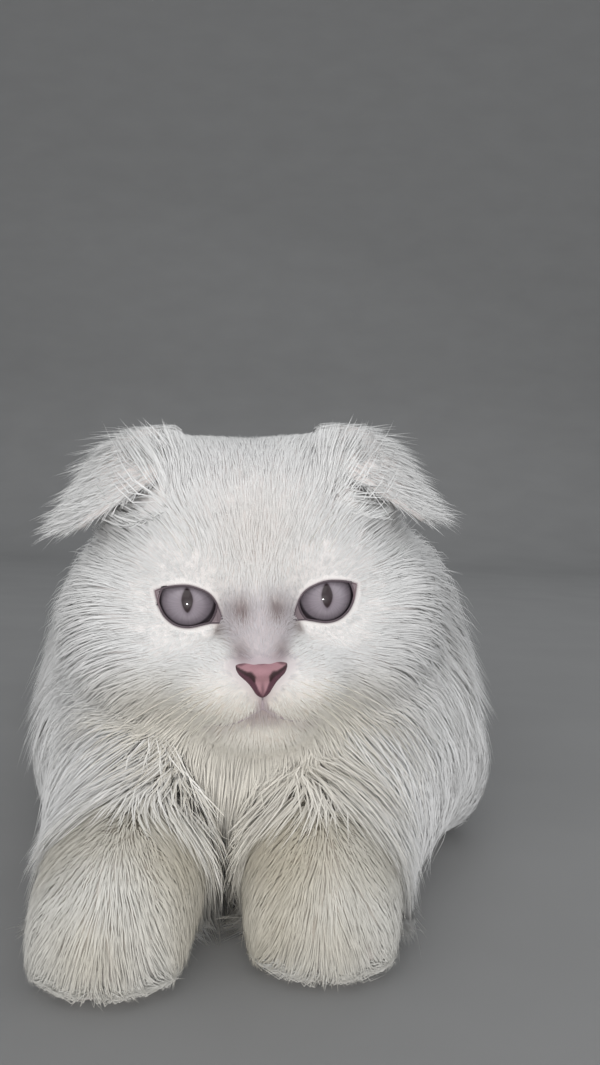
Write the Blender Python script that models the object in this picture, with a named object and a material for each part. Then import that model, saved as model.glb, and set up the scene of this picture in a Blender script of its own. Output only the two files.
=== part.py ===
"""A longhaired fold-eared cat lying in the sphinx pose, life size, as a still model.

Lengths are in metres. The cat faces -Y and lies on the floor z = 0, with its own left side at +X.
Every region of the body is a smooth blend of balls and limbs. Its closed mesh is cut clear of the
regions that it meets, so that the nodes touch face to face.
"""

import math

import bmesh
import bpy
import numpy as np
from mathutils import Matrix, Vector

# Driving dimensions
EYE_SPACING = 0.048
EYE_RADIUS = 0.0116
EYE_SINK = 0.0008
LID_RADIUS = 0.0134
LID_OPENING = 0.0206
LID_RISE = 0.0068
LID_DROP = 0.0079
LID_SLANT = math.radians(14.0)
LID_NARROWING = 0.12
LID_POINTS = 12
MOUTH_GROOVE = 0.0009
EYE_HEIGHT = 0.1085
HEAD_SIDE_SHIFT = 0.0020
HEAD_YAW = math.radians(6.0)
HEAD_ROLL = math.radians(-2.7)
FACE_GAP = 0.0003

LEFT, RIGHT = 1, -1
SIDE_NAMES = {LEFT: "left", RIGHT: "right"}

COLOURS = {
    "coat": (0.86, 0.85, 0.83),
    "iris": (0.42, 0.40, 0.46),
    "nose": (0.72, 0.42, 0.43),
}
ROUGHNESS = {"coat": 0.9, "iris": 0.1, "nose": 0.5}


def clear_scene():
    for obj in list(bpy.data.objects):
        bpy.data.objects.remove(obj)


def material(name):
    """One Principled material for each finish."""
    found = bpy.data.materials.get(name)
    if found:
        return found
    made = bpy.data.materials.new(name)
    made.use_nodes = True
    shader = made.node_tree.nodes["Principled BSDF"]
    shader.inputs["Base Color"].default_value = (*COLOURS[name], 1.0)
    shader.inputs["Roughness"].default_value = ROUGHNESS[name]
    shader.inputs["Metallic"].default_value = 0.0
    return made


class Ball:
    """An ellipsoid: its centre, its three radii and a turn about its centre."""

    def __init__(self, centre, radii, turn=None):
        self.centre = np.array(centre, float)
        self.radii = np.array(radii, float)
        self.turn = np.array(turn if turn is not None else Matrix.Identity(3), float)

    def distance(self, points):
        local = (points - self.centre) @ self.turn
        scaled = np.linalg.norm(local / self.radii, axis=1)
        slope = np.linalg.norm(local / self.radii**2, axis=1)
        return scaled * (scaled - 1.0) / np.maximum(slope, 1e-9)

    def seeds(self):
        spin = Matrix(self.turn.tolist()).to_4x4()
        return [Matrix.Translation(self.centre) @ spin @ Matrix.Diagonal((*self.radii, 1.0))]

    def moved(self, place):
        spin = place.to_3x3()
        turned = np.array(spin) @ self.turn
        return Ball(place @ Vector(self.centre), self.radii, turned)


class Limb:
    """A round limb that tapers from one joint to the next."""

    def __init__(self, start, end, start_radius, end_radius):
        self.start = np.array(start, float)
        self.end = np.array(end, float)
        self.start_radius = start_radius
        self.end_radius = end_radius

    def distance(self, points):
        axis = self.end - self.start
        along = np.clip((points - self.start) @ axis / (axis @ axis), 0.0, 1.0)
        nearest = self.start + along[:, None] * axis
        radius = self.start_radius + along * (self.end_radius - self.start_radius)
        return np.linalg.norm(points - nearest, axis=1) - radius

    def seeds(self):
        length = np.linalg.norm(self.end - self.start)
        count = 2 + int(length / (0.4 * min(self.start_radius, self.end_radius)))
        found = []
        for share in np.linspace(0.0, 1.0, count):
            centre = self.start + share * (self.end - self.start)
            radius = self.start_radius + share * (self.end_radius - self.start_radius)
            found.append(Matrix.Translation(centre) @ Matrix.Scale(radius, 4))
        return found

    def moved(self, place):
        start, end = place @ Vector(self.start), place @ Vector(self.end)
        return Limb(start, end, self.start_radius, self.end_radius)


class Form:
    """Shapes that flow into one another over a blend width, as flesh does."""

    def __init__(self, shapes, blend):
        self.shapes = shapes
        self.blend = blend

    def distance(self, points):
        total = self.shapes[0].distance(points)
        for shape in self.shapes[1:]:
            other = shape.distance(points)
            near = np.maximum(self.blend - np.abs(total - other), 0.0) / self.blend
            total = np.minimum(total, other) - near * near * self.blend / 4.0
        return total

    def slope(self, points):
        step = 1e-4
        columns = []
        for axis in range(3):
            shift = np.zeros(3)
            shift[axis] = step
            columns.append(self.distance(points + shift) - self.distance(points - shift))
        return np.stack(columns, axis=1) / (2.0 * step)

    def seeds(self):
        return [matrix for shape in self.shapes for matrix in shape.seeds()]

    def moved(self, place):
        return Form([shape.moved(place) for shape in self.shapes], self.blend)


def new_object(name, mesh, finish="coat"):
    obj = bpy.data.objects.new(name, mesh)
    bpy.context.scene.collection.objects.link(obj)
    mesh.materials.clear()
    mesh.materials.append(material(finish))
    return obj


def object_from(bm, name, finish="coat"):
    bmesh.ops.triangulate(bm, faces=bm.faces[:])
    mesh = bpy.data.meshes.new(name)
    bm.to_mesh(mesh)
    bm.free()
    return new_object(name, mesh, finish)


def helper_from(bm, name):
    """A cutter: an object that is no part of the model itself."""
    helper = object_from(bm, name)
    helper.hide_render = True
    helper.display_type = "WIRE"
    return helper


def with_modifiers_applied(obj):
    """Replaces the object's mesh by what its modifiers make of it."""
    bpy.context.view_layer.update()
    graph = bpy.context.evaluated_depsgraph_get()
    made = bpy.data.meshes.new_from_object(obj.evaluated_get(graph))
    obj.modifiers.clear()
    obj.data = made
    return obj


def vertex_array(mesh):
    flat = np.empty(len(mesh.vertices) * 3, np.float32)
    mesh.vertices.foreach_get("co", flat)
    return flat.reshape(-1, 3).astype(float)


def settle_on(form, points, level):
    """Moves points along the form's slope until they lie at the level."""
    for _ in range(5):
        slope = form.slope(points)
        height = form.distance(points) - level
        points = points - slope * (height / np.maximum((slope**2).sum(1), 1e-6))[:, None]
    return points


def form_object(name, form, voxel, triangles, level=0.0, finish="coat", plain_part=None):
    """A closed mesh of the form's surface: remeshed seeds, settled on the form and thinned out.

    plain_part gives a weight to each point, 1 where the mesh may be coarse and 0 where it is fine.
    """
    bm = bmesh.new()
    for matrix in form.seeds():
        bmesh.ops.create_icosphere(bm, subdivisions=3, radius=1.0, matrix=matrix)
    mesh = bpy.data.meshes.new(name)
    bm.to_mesh(mesh)
    bm.free()
    obj = new_object(name, mesh, finish)
    remesh = obj.modifiers.new("even", "REMESH")
    remesh.mode = "VOXEL"
    remesh.voxel_size = voxel
    with_modifiers_applied(obj)
    points = settle_on(form, vertex_array(obj.data), level)
    obj.data.vertices.foreach_set("co", points.astype(np.float32).ravel())
    if plain_part:
        group = obj.vertex_groups.new(name="plain")
        for at, weight in enumerate(plain_part(points)):
            group.add([at], float(weight), "REPLACE")
    thin = obj.modifiers.new("thin", "DECIMATE")
    thin.ratio = min(1.0, triangles / (2.0 * len(obj.data.polygons)))
    if plain_part:
        thin.vertex_group = "plain"
        thin.vertex_group_factor = 1.0
    with_modifiers_applied(obj)
    obj.vertex_groups.clear()
    cut_at_floor(obj)
    set_finish(obj, finish)
    return obj


def set_finish(obj, finish):
    obj.data.materials.clear()
    obj.data.materials.append(material(finish))


def cut_at_floor(obj):
    """Takes off what lies under the floor and closes the cut with a flat."""
    bm = bmesh.new()
    bm.from_mesh(obj.data)
    if min(v.co.z for v in bm.verts) < 0.0:
        geometry = bm.verts[:] + bm.edges[:] + bm.faces[:]
        cut = bmesh.ops.bisect_plane(
            bm, geom=geometry, dist=1e-6, plane_co=(0, 0, 0), plane_no=(0, 0, -1), clear_outer=True
        )
        rim = [e for e in cut["geom_cut"] if isinstance(e, bmesh.types.BMEdge)]
        bmesh.ops.triangle_fill(bm, use_beauty=True, use_dissolve=True, edges=rim, normal=(0, 0, -1))
        bmesh.ops.recalc_face_normals(bm, faces=bm.faces[:])
    bmesh.ops.triangulate(bm, faces=bm.faces[:])
    bm.to_mesh(obj.data)
    bm.free()


# How much a clearance rounds off where faces disagree, and the most that a corner moves, in amounts
CLEARANCE_ROUNDING = 0.02
CLEARANCE_REACH = 3.0


def grown_copy(obj, amount):
    """A cutter whose faces stand off the object's own by the amount."""
    bm = bmesh.new()
    bm.from_mesh(obj.data)
    bm.normal_update()
    moves = []
    for vertex in bm.verts:
        normals = np.array([face.normal for face in vertex.link_faces], float)
        weight = normals.T @ normals + CLEARANCE_ROUNDING * np.eye(3)
        move = np.linalg.solve(weight, normals.sum(0) * amount)
        size = np.linalg.norm(move)
        moves.append(move * min(1.0, CLEARANCE_REACH * amount / max(size, 1e-9)))
    for vertex, move in zip(bm.verts, moves):
        vertex.co += Vector(move)
    return helper_from(bm, obj.name + "_clearance")


def boxes_meet(first, second):
    a, b = vertex_array(first.data), vertex_array(second.data)
    return bool((a.min(0) < b.max(0)).all() and (b.min(0) < a.max(0)).all())


def subtract(obj, cutters):
    """Cuts the closed cutters that reach the object out of it and keeps the largest closed piece."""
    near = [cutter for cutter in cutters if boxes_meet(obj, cutter)]
    if near:
        group = bpy.data.collections.new(obj.name + "_cutters")
        for cutter in near:
            group.objects.link(cutter)
        cut = obj.modifiers.new("cut", "BOOLEAN")
        cut.operation = "DIFFERENCE"
        cut.operand_type = "COLLECTION"
        cut.collection = group
        cut.solver = "MANIFOLD"
        with_modifiers_applied(obj)
        bpy.data.collections.remove(group)
    keep_largest(obj)
    return obj


def in_triangles(bm):
    """The mesh in triangles, with no new edge that two faces of it would share.

    Faces that would share one are clipped in another way, and at last from a point in their middle.
    """
    tangled = set()
    for way in ("BEAUTY", "BEAUTY", "POKE"):
        split = bm.copy()
        split.faces.ensure_lookup_table()
        plain = [face for face in split.faces if face.index not in tangled]
        others = [split.faces[index] for index in tangled]
        if way == "POKE":
            bmesh.ops.poke(split, faces=others)
        else:
            bmesh.ops.triangulate(split, faces=others, ngon_method="BEAUTY")
        bmesh.ops.triangulate(split, faces=plain, ngon_method="EAR_CLIP")
        shared = [edge for edge in split.edges if len(edge.link_faces) != 2]
        if not shared:
            break
        for first, second in [(edge.verts[0].index, edge.verts[1].index) for edge in shared]:
            for face in bm.faces:
                corners = {vertex.index for vertex in face.verts}
                if len(corners) > 3 and first in corners and second in corners:
                    tangled.add(face.index)
    return split


def keep_largest(obj):
    """Keeps the largest closed surface of the object."""
    bm = bmesh.new()
    bm.from_mesh(obj.data)
    bm.faces.index_update()
    bm = in_triangles(bm)
    left = set(bm.faces)
    pieces = []
    while left:
        piece, todo = [], [left.pop()]
        while todo:
            face = todo.pop()
            piece.append(face)
            for other in [near for edge in face.edges for near in edge.link_faces]:
                if other in left:
                    left.remove(other)
                    todo.append(other)
        pieces.append(piece)
    pieces.sort(key=size_of_piece)
    for piece in pieces[:-1]:
        bmesh.ops.delete(bm, geom=piece, context="FACES")
    bm.to_mesh(obj.data)


def size_of_piece(faces):
    points = np.array([vertex.co for face in faces for vertex in face.verts])
    return float(np.prod(points.max(0) - points.min(0) + 1e-6))


# The head's own frame has its origin midway between the eyes, -Y out of the face and +Z up.

HEAD_PLACE = (
    Matrix.Translation((HEAD_SIDE_SHIFT, 0.0, EYE_HEIGHT))
    @ Matrix.Rotation(HEAD_YAW, 4, "Z")
    @ Matrix.Rotation(HEAD_ROLL, 4, "Y")
)


def both_sides(make):
    return [make(LEFT), make(RIGHT)]


def head_form():
    """The skull, cheeks and brows under the short coat of the face."""
    shapes = [
        Ball((0, 0.042, 0.012), (0.050, 0.052, 0.046)),
        Ball((0, 0.012, 0.018), (0.036, 0.024, 0.028)),
        Ball((0, 0.014, -0.030), (0.034, 0.028, 0.019)),
    ]
    shapes += both_sides(lambda s: Ball((s * 0.026, 0.036, 0.032), (0.027, 0.032, 0.027)))
    shapes += both_sides(lambda s: Ball((s * 0.023, 0.004, 0.014), (0.017, 0.013, 0.011)))
    shapes += both_sides(lambda s: Ball((s * 0.038, 0.028, -0.010), (0.030, 0.035, 0.033)))
    shapes += both_sides(lambda s: Ball((s * 0.027, 0.006, -0.019), (0.019, 0.014, 0.015)))
    return Form(shapes, 0.012)


def muzzle_form():
    """The bridge of the nose, the whisker pads and the chin."""
    shapes = [
        Limb((0, -0.002, 0.008), (0, -0.0185, -0.0165), 0.0120, 0.0098),
        Ball((0, -0.006, -0.028), (0.026, 0.021, 0.017)),
        Ball((0, -0.010, -0.0430), (0.0170, 0.0130, 0.0085)),
    ]
    shapes += both_sides(lambda s: Ball((s * 0.0120, -0.0160, -0.0285), (0.0150, 0.0118, 0.0092)))
    return Form(shapes, 0.007)


def whole_head_form():
    lids = both_sides(lambda s: Ball(eye_centre(s), (LID_RADIUS, LID_RADIUS, LID_RADIUS)))
    return Form([Form([head_form(), muzzle_form()], 0.009), *lids], 0.004)


def behind_the_face(points):
    """1 at the back of the head, which lies in the ruff, falling to 0 on the face."""
    back = HEAD_PLACE.inverted()
    depth = np.array([(back @ Vector(point)).y for point in points])
    return np.clip((depth - 0.030) / 0.020, 0.05, 1.0)


def eye_centre(side):
    return Vector((side * EYE_SPACING / 2.0, EYE_SINK, 0.0))


def lid_cutter(side):
    """The almond opening between the lids, its outer corner higher than the inner one."""
    bm = bmesh.new()
    rings = []
    for depth in (-0.004, -0.030):
        ring = []
        for at in range(LID_POINTS):
            angle = 2.0 * math.pi * at / LID_POINTS
            across, up = math.cos(angle), math.sin(angle)
            height = LID_RISE if up > 0.0 else LID_DROP
            x = 0.5 * LID_OPENING * across
            z = height * up * (1.0 - LID_NARROWING * across * across)
            ring.append(bm.verts.new((side * x, depth, z)))
        rings.append(ring)
    for at in range(LID_POINTS):
        after = (at + 1) % LID_POINTS
        bm.faces.new((rings[0][at], rings[0][after], rings[1][after], rings[1][at]))
    bm.faces.new(rings[0])
    bm.faces.new(rings[1])
    bmesh.ops.recalc_face_normals(bm, faces=bm.faces[:])
    slant = Matrix.Rotation(-side * LID_SLANT, 4, "Y")
    where = HEAD_PLACE @ Matrix.Translation(eye_centre(side)) @ slant
    bmesh.ops.transform(bm, matrix=where, verts=bm.verts)
    return helper_from(bm, "lid_opening_" + SIDE_NAMES[side])


def nose_form():
    """The bare nose leather: a broad top and two wings that taper to a foot over the lip."""
    foot = -0.0278, -0.0272
    shapes = [Ball((0, -0.0240, -0.0203), (0.0076, 0.0064, 0.0036))]
    shapes += both_sides(lambda s: Ball((s * 0.0052, -0.0236, -0.0207), (0.0038, 0.0056, 0.0034)))
    shapes += both_sides(lambda s: Limb((s * 0.0050, -0.0250, -0.0215), (s * 0.0004, *foot), 0.0030, 0.0014))
    return Form(shapes, 0.003)


def nostril_cutter(side):
    """The hollow of a nostril, which rises towards the wing."""
    bm = bmesh.new()
    turn = Matrix.Rotation(-side * math.radians(38), 4, "Y")
    where = Matrix.Translation((side * 0.0049, -0.0296, -0.0222)) @ turn
    shape = Matrix.Diagonal((0.0021, 0.0034, 0.0010, 1.0))
    bmesh.ops.create_icosphere(bm, subdivisions=2, radius=1.0, matrix=HEAD_PLACE @ where @ shape)
    return helper_from(bm, "nostril_" + SIDE_NAMES[side])


# The split of the lip and one side of the mouth, across and up in the head's frame
MOUTH_LINE = (
    (0.0, -0.0282), (0.0, -0.0303), (0.0, -0.0325), (0.0035, -0.0350), (0.0082, -0.0376),
    (0.0130, -0.0392), (0.0165, -0.0390),
)
MOUTH_SIDES = 5
MOUTH_END = 0.6
MOUTH_DEPTH = 1.6
START_FORWARD = -0.034


def mouth_cutter(side):
    """A thin tube along the split of the lip and the line of the mouth, half sunk in the face."""
    form = Form([head_form(), muzzle_form()], 0.009)
    points = np.array([(side * x, START_FORWARD, z) for x, z in MOUTH_LINE])
    points = settle_forward(form, points)
    bm = bmesh.new()
    rings = []
    for at, point in enumerate(points):
        before, after = points[max(at - 1, 0)], points[min(at + 1, len(points) - 1)]
        along = Vector(after - before).normalized()
        out = Vector((0, -1, 0))
        across = along.cross(out).normalized()
        radius = MOUTH_GROOVE * (MOUTH_END if at in (0, len(points) - 1) else 1.0)
        ring = []
        for corner in range(MOUTH_SIDES):
            angle = 2.0 * math.pi * corner / MOUTH_SIDES
            offset = across * math.cos(angle) * radius + out * math.sin(angle) * radius * MOUTH_DEPTH
            ring.append(bm.verts.new(Vector(point) + offset))
        rings.append(ring)
    close_tube(bm, rings)
    bmesh.ops.transform(bm, matrix=HEAD_PLACE, verts=bm.verts)
    return helper_from(bm, "mouth_line_" + SIDE_NAMES[side])


def close_tube(bm, rings):
    """Faces round a row of rings, with a cap on both ends."""
    count = len(rings[0])
    for low, high in zip(rings, rings[1:]):
        for at in range(count):
            after = (at + 1) % count
            bm.faces.new((low[at], low[after], high[after], high[at]))
    bm.faces.new(list(reversed(rings[0])))
    bm.faces.new(rings[-1])
    bmesh.ops.recalc_face_normals(bm, faces=bm.faces[:])


def settle_forward(form, points):
    """Slides points along Y onto the front of the form, by most of the distance at each turn."""
    turns, share = 60, 0.7
    points = points.copy()
    for _ in range(turns):
        points[:, 1] += share * form.distance(points)
    return points


def neck_form():
    """The neck, the ruff that frames the face and the bib down to the floor."""
    return Form(
        [
            Ball((0.001, 0.056, 0.098), (0.089, 0.042, 0.062)),
            Ball((0.001, 0.060, 0.058), (0.080, 0.038, 0.050)),
            Ball((0.001, 0.025, 0.040), (0.055, 0.037, 0.058)),
            Limb((0.001, 0.074, 0.110), (0.0, 0.110, 0.092), 0.057, 0.062),
        ],
        0.020,
    )


def torso_form():
    """Shoulders, barrel and rump, flat underneath where they lie on the floor."""
    shapes = [
        Ball((0, 0.104, 0.072), (0.086, 0.068, 0.080)),
        Ball((0, 0.165, 0.070), (0.096, 0.095, 0.084)),
        Ball((0, 0.238, 0.068), (0.096, 0.084, 0.082)),
        Ball((0, 0.284, 0.062), (0.078, 0.052, 0.070)),
    ]
    shapes += both_sides(lambda s: Ball((s * 0.050, 0.094, 0.060), (0.046, 0.050, 0.062)))
    return Form(shapes, 0.022)


WRIST = {RIGHT: (-0.039, -0.016, 0.022), LEFT: (0.031, -0.006, 0.022)}
PAW = {RIGHT: (-0.0365, -0.037, 0.0185), LEFT: (0.0270, -0.026, 0.0185)}
ELBOW = {RIGHT: (-0.059, 0.056, 0.032), LEFT: (0.067, 0.062, 0.032)}


def foreleg_form(side):
    elbow, wrist = ELBOW[side], WRIST[side]
    shoulder = (side * 0.050, 0.082, 0.068)
    return Form([Limb(shoulder, elbow, 0.036, 0.030), Limb(elbow, wrist, 0.029, 0.0195)], 0.012)


def forepaw_form(side):
    x, y, z = PAW[side]
    shapes = [Ball((x, y, z), (0.0235, 0.0285, 0.0215))]
    for across in (-0.0135, -0.0048, 0.0048, 0.0135):
        reach = 0.021 - 30.0 * across * across
        shapes.append(Ball((x + across, y - reach, 0.0125), (0.0080, 0.0115, 0.0140)))
    return Form(shapes, 0.005)


def hind_leg_form(side):
    return Form(
        [
            Ball((side * 0.066, 0.232, 0.056), (0.040, 0.068, 0.060)),
            Limb((side * 0.072, 0.262, 0.030), (side * 0.080, 0.215, 0.022), 0.027, 0.024),
        ],
        0.018,
    )


def hind_paw_form(side):
    return Form(
        [
            Limb((side * 0.082, 0.200, 0.0150), (side * 0.085, 0.150, 0.0140), 0.0175, 0.0155),
            Ball((side * 0.085, 0.136, 0.0145), (0.020, 0.026, 0.0165)),
        ],
        0.008,
    )


TAIL_POINTS = (
    (-0.020, 0.318, 0.040), (-0.060, 0.350, 0.034), (-0.094, 0.346, 0.031), (-0.116, 0.318, 0.030),
    (-0.123, 0.284, 0.029), (-0.123, 0.250, 0.028), (-0.119, 0.212, 0.025),
)
TAIL_RADII = (0.020, 0.027, 0.0295, 0.030, 0.029, 0.026, 0.014)
TAIL_STEP = 0.0015


def tail_form(first, last):
    """One length of the tail, which starts a little inside the length before it."""
    radii = list(TAIL_RADII)
    if first:
        radii[first] -= TAIL_STEP
    shapes = []
    for at in range(first, last):
        shapes.append(Limb(TAIL_POINTS[at], TAIL_POINTS[at + 1], radii[at], radii[at + 1]))
    return Form(shapes, 0.008)


# How far each coat's core lies inside the tips of its locks
RUFF_DEPTH = 0.012
TORSO_DEPTH = 0.009
HAUNCH_DEPTH = 0.008
TAIL_DEPTH = 0.012


class Core(Form):
    """A form drawn in by the depth of the locks that grow on it."""

    def __init__(self, form, depth):
        self.form = form
        self.depth = depth

    def distance(self, points):
        return self.form.distance(points) + self.depth

    def seeds(self):
        return self.form.seeds()


def cores():
    """The form of every node of flesh, in the order in which they take up shared room."""
    found = {"head": Core(whole_head_form().moved(HEAD_PLACE), 0.0)}
    for side in (LEFT, RIGHT):
        found["forepaw_" + SIDE_NAMES[side]] = Core(forepaw_form(side), 0.0)
    for side in (LEFT, RIGHT):
        found["foreleg_" + SIDE_NAMES[side]] = Core(foreleg_form(side), 0.0)
    found["neck_ruff"] = Core(neck_form(), RUFF_DEPTH)
    for side in (LEFT, RIGHT):
        found["hind_paw_" + SIDE_NAMES[side]] = Core(hind_paw_form(side), 0.0)
    for side in (LEFT, RIGHT):
        found["hind_leg_" + SIDE_NAMES[side]] = Core(hind_leg_form(side), HAUNCH_DEPTH)
    found["tail_base"] = Core(tail_form(0, 2), TAIL_DEPTH)
    found["tail_middle"] = Core(tail_form(2, 4), TAIL_DEPTH)
    found["tail_end"] = Core(tail_form(4, 6), TAIL_DEPTH)
    found["torso"] = Core(torso_form(), TORSO_DEPTH)
    return found


# The coat. A lock is a flat, tapered strip of hair that leaves the body, bends and lies along it.
LOCK_SINK = 0.0045
LOCK_FLOOR = 0.0040
LOWEST = 0.0006
LOCK_STEPS = 6
LOCK_CLEAR = 0.008
LOCK_BASE = 0.35
LOWEST_ROOT = 0.016
ROOT_TRIALS = 3000
FLESH_BLEND = 0.004
# How much further a clearance stands off a lock at its sides, at its ridge and at its tip
SIDE_CLEARANCE = 3.5
RIDGE_CLEARANCE = 1.3
TIP_CLEARANCE = 4.0
# The least that a corner of a lock advances from ring to ring, as a share of the lock's step
LEAST_ADVANCE = 0.25
# Rings of a lock: the step of its middle line, then its share of the full width and thickness
SHORT_LOCK = ((0, 0.80, 0.9), (3, 1.0, 1.0))
LONG_LOCK = ((0, 0.75, 0.9), (2, 1.0, 1.0), (4, 0.80, 0.80))


class Coat:
    """How one kind of lock grows: its spacing, sizes and rise, its way and where it is found."""

    def __init__(self, spacing, length, width, thickness, rise, way, found, clear=0.004, rings=LONG_LOCK):
        self.spacing = spacing
        self.length = length
        self.width = width
        self.thickness = thickness
        self.rise = rise
        self.way = way
        self.found = found
        self.clear = clear
        self.rings = rings


def unit(rows):
    return rows / np.maximum(np.linalg.norm(rows, axis=1), 1e-9)[:, None]


def ramp(values, low, high):
    """0 below low, 1 above high and smooth between."""
    t = np.clip((values - low) / (high - low), 0.0, 1.0)
    return t * t * (3.0 - 2.0 * t)


def torso_way(points):
    """Back along the spine, and down the flanks and over the rump."""
    x, y = points[:, 0], points[:, 1]
    side = np.clip(x / 0.095, -1.0, 1.0)
    down = np.abs(side) ** 1.5
    rump = ramp(y, 0.26, 0.32)
    return np.stack([0.15 * side, 1.0 - 0.35 * down - 0.4 * rump, -0.95 * down - 0.8 * rump], axis=1)


def ruff_way(points):
    """Outward round the face, then back over the neck and down the chest."""
    x, y, z = points.T
    outward = unit(np.stack([x - HEAD_SIDE_SHIFT, 0.0 * y, z - 0.108], axis=1))
    chest = ramp(-z, -0.085, -0.045) * ramp(-np.abs(x), -0.070, -0.035)
    nape = ramp(z, 0.115, 0.145)
    way = outward * 0.8 + np.array([0.0, 0.45, -0.45])
    way += chest[:, None] * (np.stack([5.0 * x, -0.30 + 0 * y, -1.0 + 0 * z], axis=1) - way)
    return way + nape[:, None] * (np.array([0.0, 1.0, 0.0]) - way)


def haunch_way(points):
    return np.tile((0.0, 0.75, -0.70), (len(points), 1))


def tail_way(points):
    """Along the tail towards its tip, and a little down."""
    spine = np.array(TAIL_POINTS)
    legs = spine[1:] - spine[:-1]
    middles = (spine[1:] + spine[:-1]) / 2.0
    gaps = np.linalg.norm(points[:, None, :] - middles[None], axis=2)
    weights = np.exp(-((gaps / 0.022) ** 2)) + 1e-9
    return unit(weights @ unit(legs)) + np.array([0.0, 0.0, -0.22])


def foreleg_way(points):
    """Outward and down over the forearm, and back at the elbow."""
    side = np.sign(points[:, 0])
    back = 0.15 + 0.55 * ramp(points[:, 1], 0.030, 0.060)
    return np.stack([0.55 * side, back, -0.75 + 0.0 * side], axis=1)


def cheek_way(points):
    """From the cheeks outward and down, and a little back."""
    side = np.sign(points[:, 0] - HEAD_SIDE_SHIFT)
    return np.stack([0.75 * side, 0.28 + 0.0 * side, -0.75 + 0.0 * side], axis=1)


def nape_way(points):
    """Back and down from the crown to the neck."""
    x = points[:, 0]
    return np.stack([5.0 * x, 0.9 + 0.0 * x, -0.6 + 0.0 * x], axis=1)


def everywhere(points):
    return np.ones(len(points), bool)


def bib(points):
    """Below the chin, between the forelegs."""
    return (np.abs(points[:, 0]) < 0.050) & (points[:, 1] < 0.030) & (points[:, 2] < 0.070)


def ruff(points):
    return ~bib(points)


def forearm(points):
    """The outer and upper side of the foreleg, behind the wrist."""
    return (points[:, 1] > 0.000) & (np.abs(points[:, 0]) > 0.043)


def cheek(points):
    """The sides of the face behind the short hair, from below the ear to below the cheek."""
    across = np.abs(points[:, 0] - HEAD_SIDE_SHIFT)
    z = points[:, 2]
    return (across > 0.050) & (points[:, 1] < 0.048) & (z > 0.066) & (z < 0.128)


def nape(points):
    """The back of the head above the neck."""
    return (points[:, 1] > 0.066) & (points[:, 2] > 0.118)


def sided(name, *coats):
    return {name + "_left": coats, name + "_right": coats}


RUFF_COATS = (
    Coat(0.0120, 0.048, 0.0120, 0.0044, 0.0115, ruff_way, bib, 0.0010),
    Coat(0.0175, 0.050, 0.0165, 0.0050, 0.0115, ruff_way, ruff, 0.0020),
)
HEAD_COATS = (
    Coat(0.0190, 0.040, 0.0150, 0.0044, 0.0085, cheek_way, cheek, 0.0040, SHORT_LOCK),
    Coat(0.0230, 0.042, 0.0190, 0.0046, 0.0050, nape_way, nape, 0.0040, SHORT_LOCK),
)
BACK_COAT = Coat(0.0280, 0.068, 0.0230, 0.0054, 0.0070, torso_way, everywhere, rings=SHORT_LOCK)
HAUNCH_COAT = Coat(0.0240, 0.052, 0.0190, 0.0048, 0.0060, haunch_way, everywhere, rings=SHORT_LOCK)
FOREARM_COAT = Coat(0.0215, 0.042, 0.0170, 0.0044, 0.0048, foreleg_way, forearm, 0.0035, SHORT_LOCK)
TAIL_COAT = Coat(0.0185, 0.054, 0.0165, 0.0048, 0.0090, tail_way, everywhere)
TAIL_TIP_COAT = Coat(0.0180, 0.050, 0.0155, 0.0046, 0.0085, tail_way, everywhere)
COATS = {
    "head": HEAD_COATS,
    "neck_ruff": RUFF_COATS,
    "torso": (BACK_COAT,),
    **sided("hind_leg", HAUNCH_COAT),
    **sided("foreleg", FOREARM_COAT),
    "tail_base": (TAIL_COAT,),
    "tail_middle": (TAIL_COAT,),
    "tail_end": (TAIL_TIP_COAT,),
}
EAR_TUFT = Coat(0.0, 0.0, 0.0085, 0.0026, 0.0, None, None)

# Middle lines of the tufts at the edge of the folded ear, from the root in the sheet to the tip, in
# the head's frame for the cat's left side
EAR_TUFTS = (
    ((0.050, 0.006, 0.0385), (0.063, 0.003, 0.0310), (0.072, 0.004, 0.0200)),
    ((0.052, 0.012, 0.0430), (0.066, 0.012, 0.0370), (0.077, 0.010, 0.0260)),
    ((0.053, 0.022, 0.0490), (0.065, 0.022, 0.0420), (0.073, 0.020, 0.0320)),
)
EAR_TUFT_FACES = (0.35, -0.55, 0.75)


def surface_samples(obj, draw, count):
    """Points spread over the object's faces by area."""
    points = vertex_array(obj.data)
    faces = np.array([face.vertices[:] for face in obj.data.polygons])
    a, b, c = points[faces[:, 0]], points[faces[:, 1]], points[faces[:, 2]]
    areas = np.linalg.norm(np.cross(b - a, c - a), axis=1)
    picks = draw.choice(len(faces), count, p=areas / areas.sum())
    u, v = draw.random((2, count))
    over = u + v > 1.0
    u[over], v[over] = 1.0 - u[over], 1.0 - v[over]
    return a[picks] + u[:, None] * (b - a)[picks] + v[:, None] * (c - a)[picks]


def lock_roots(obj, coat, others, taken, draw):
    """Places on the core for one kind of lock, a spacing apart and clear of the other nodes."""
    points = surface_samples(obj, draw, ROOT_TRIALS)
    free = coat.found(points) & (points[:, 2] > LOWEST_ROOT)
    for other in others:
        free &= other.distance(points) > coat.clear
    chosen = []
    for point in points[free]:
        near = chosen + taken
        if near and np.min(np.linalg.norm(np.array(near) - point, axis=1)) < coat.spacing:
            continue
        chosen.append(point)
    return np.array(chosen)


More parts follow.
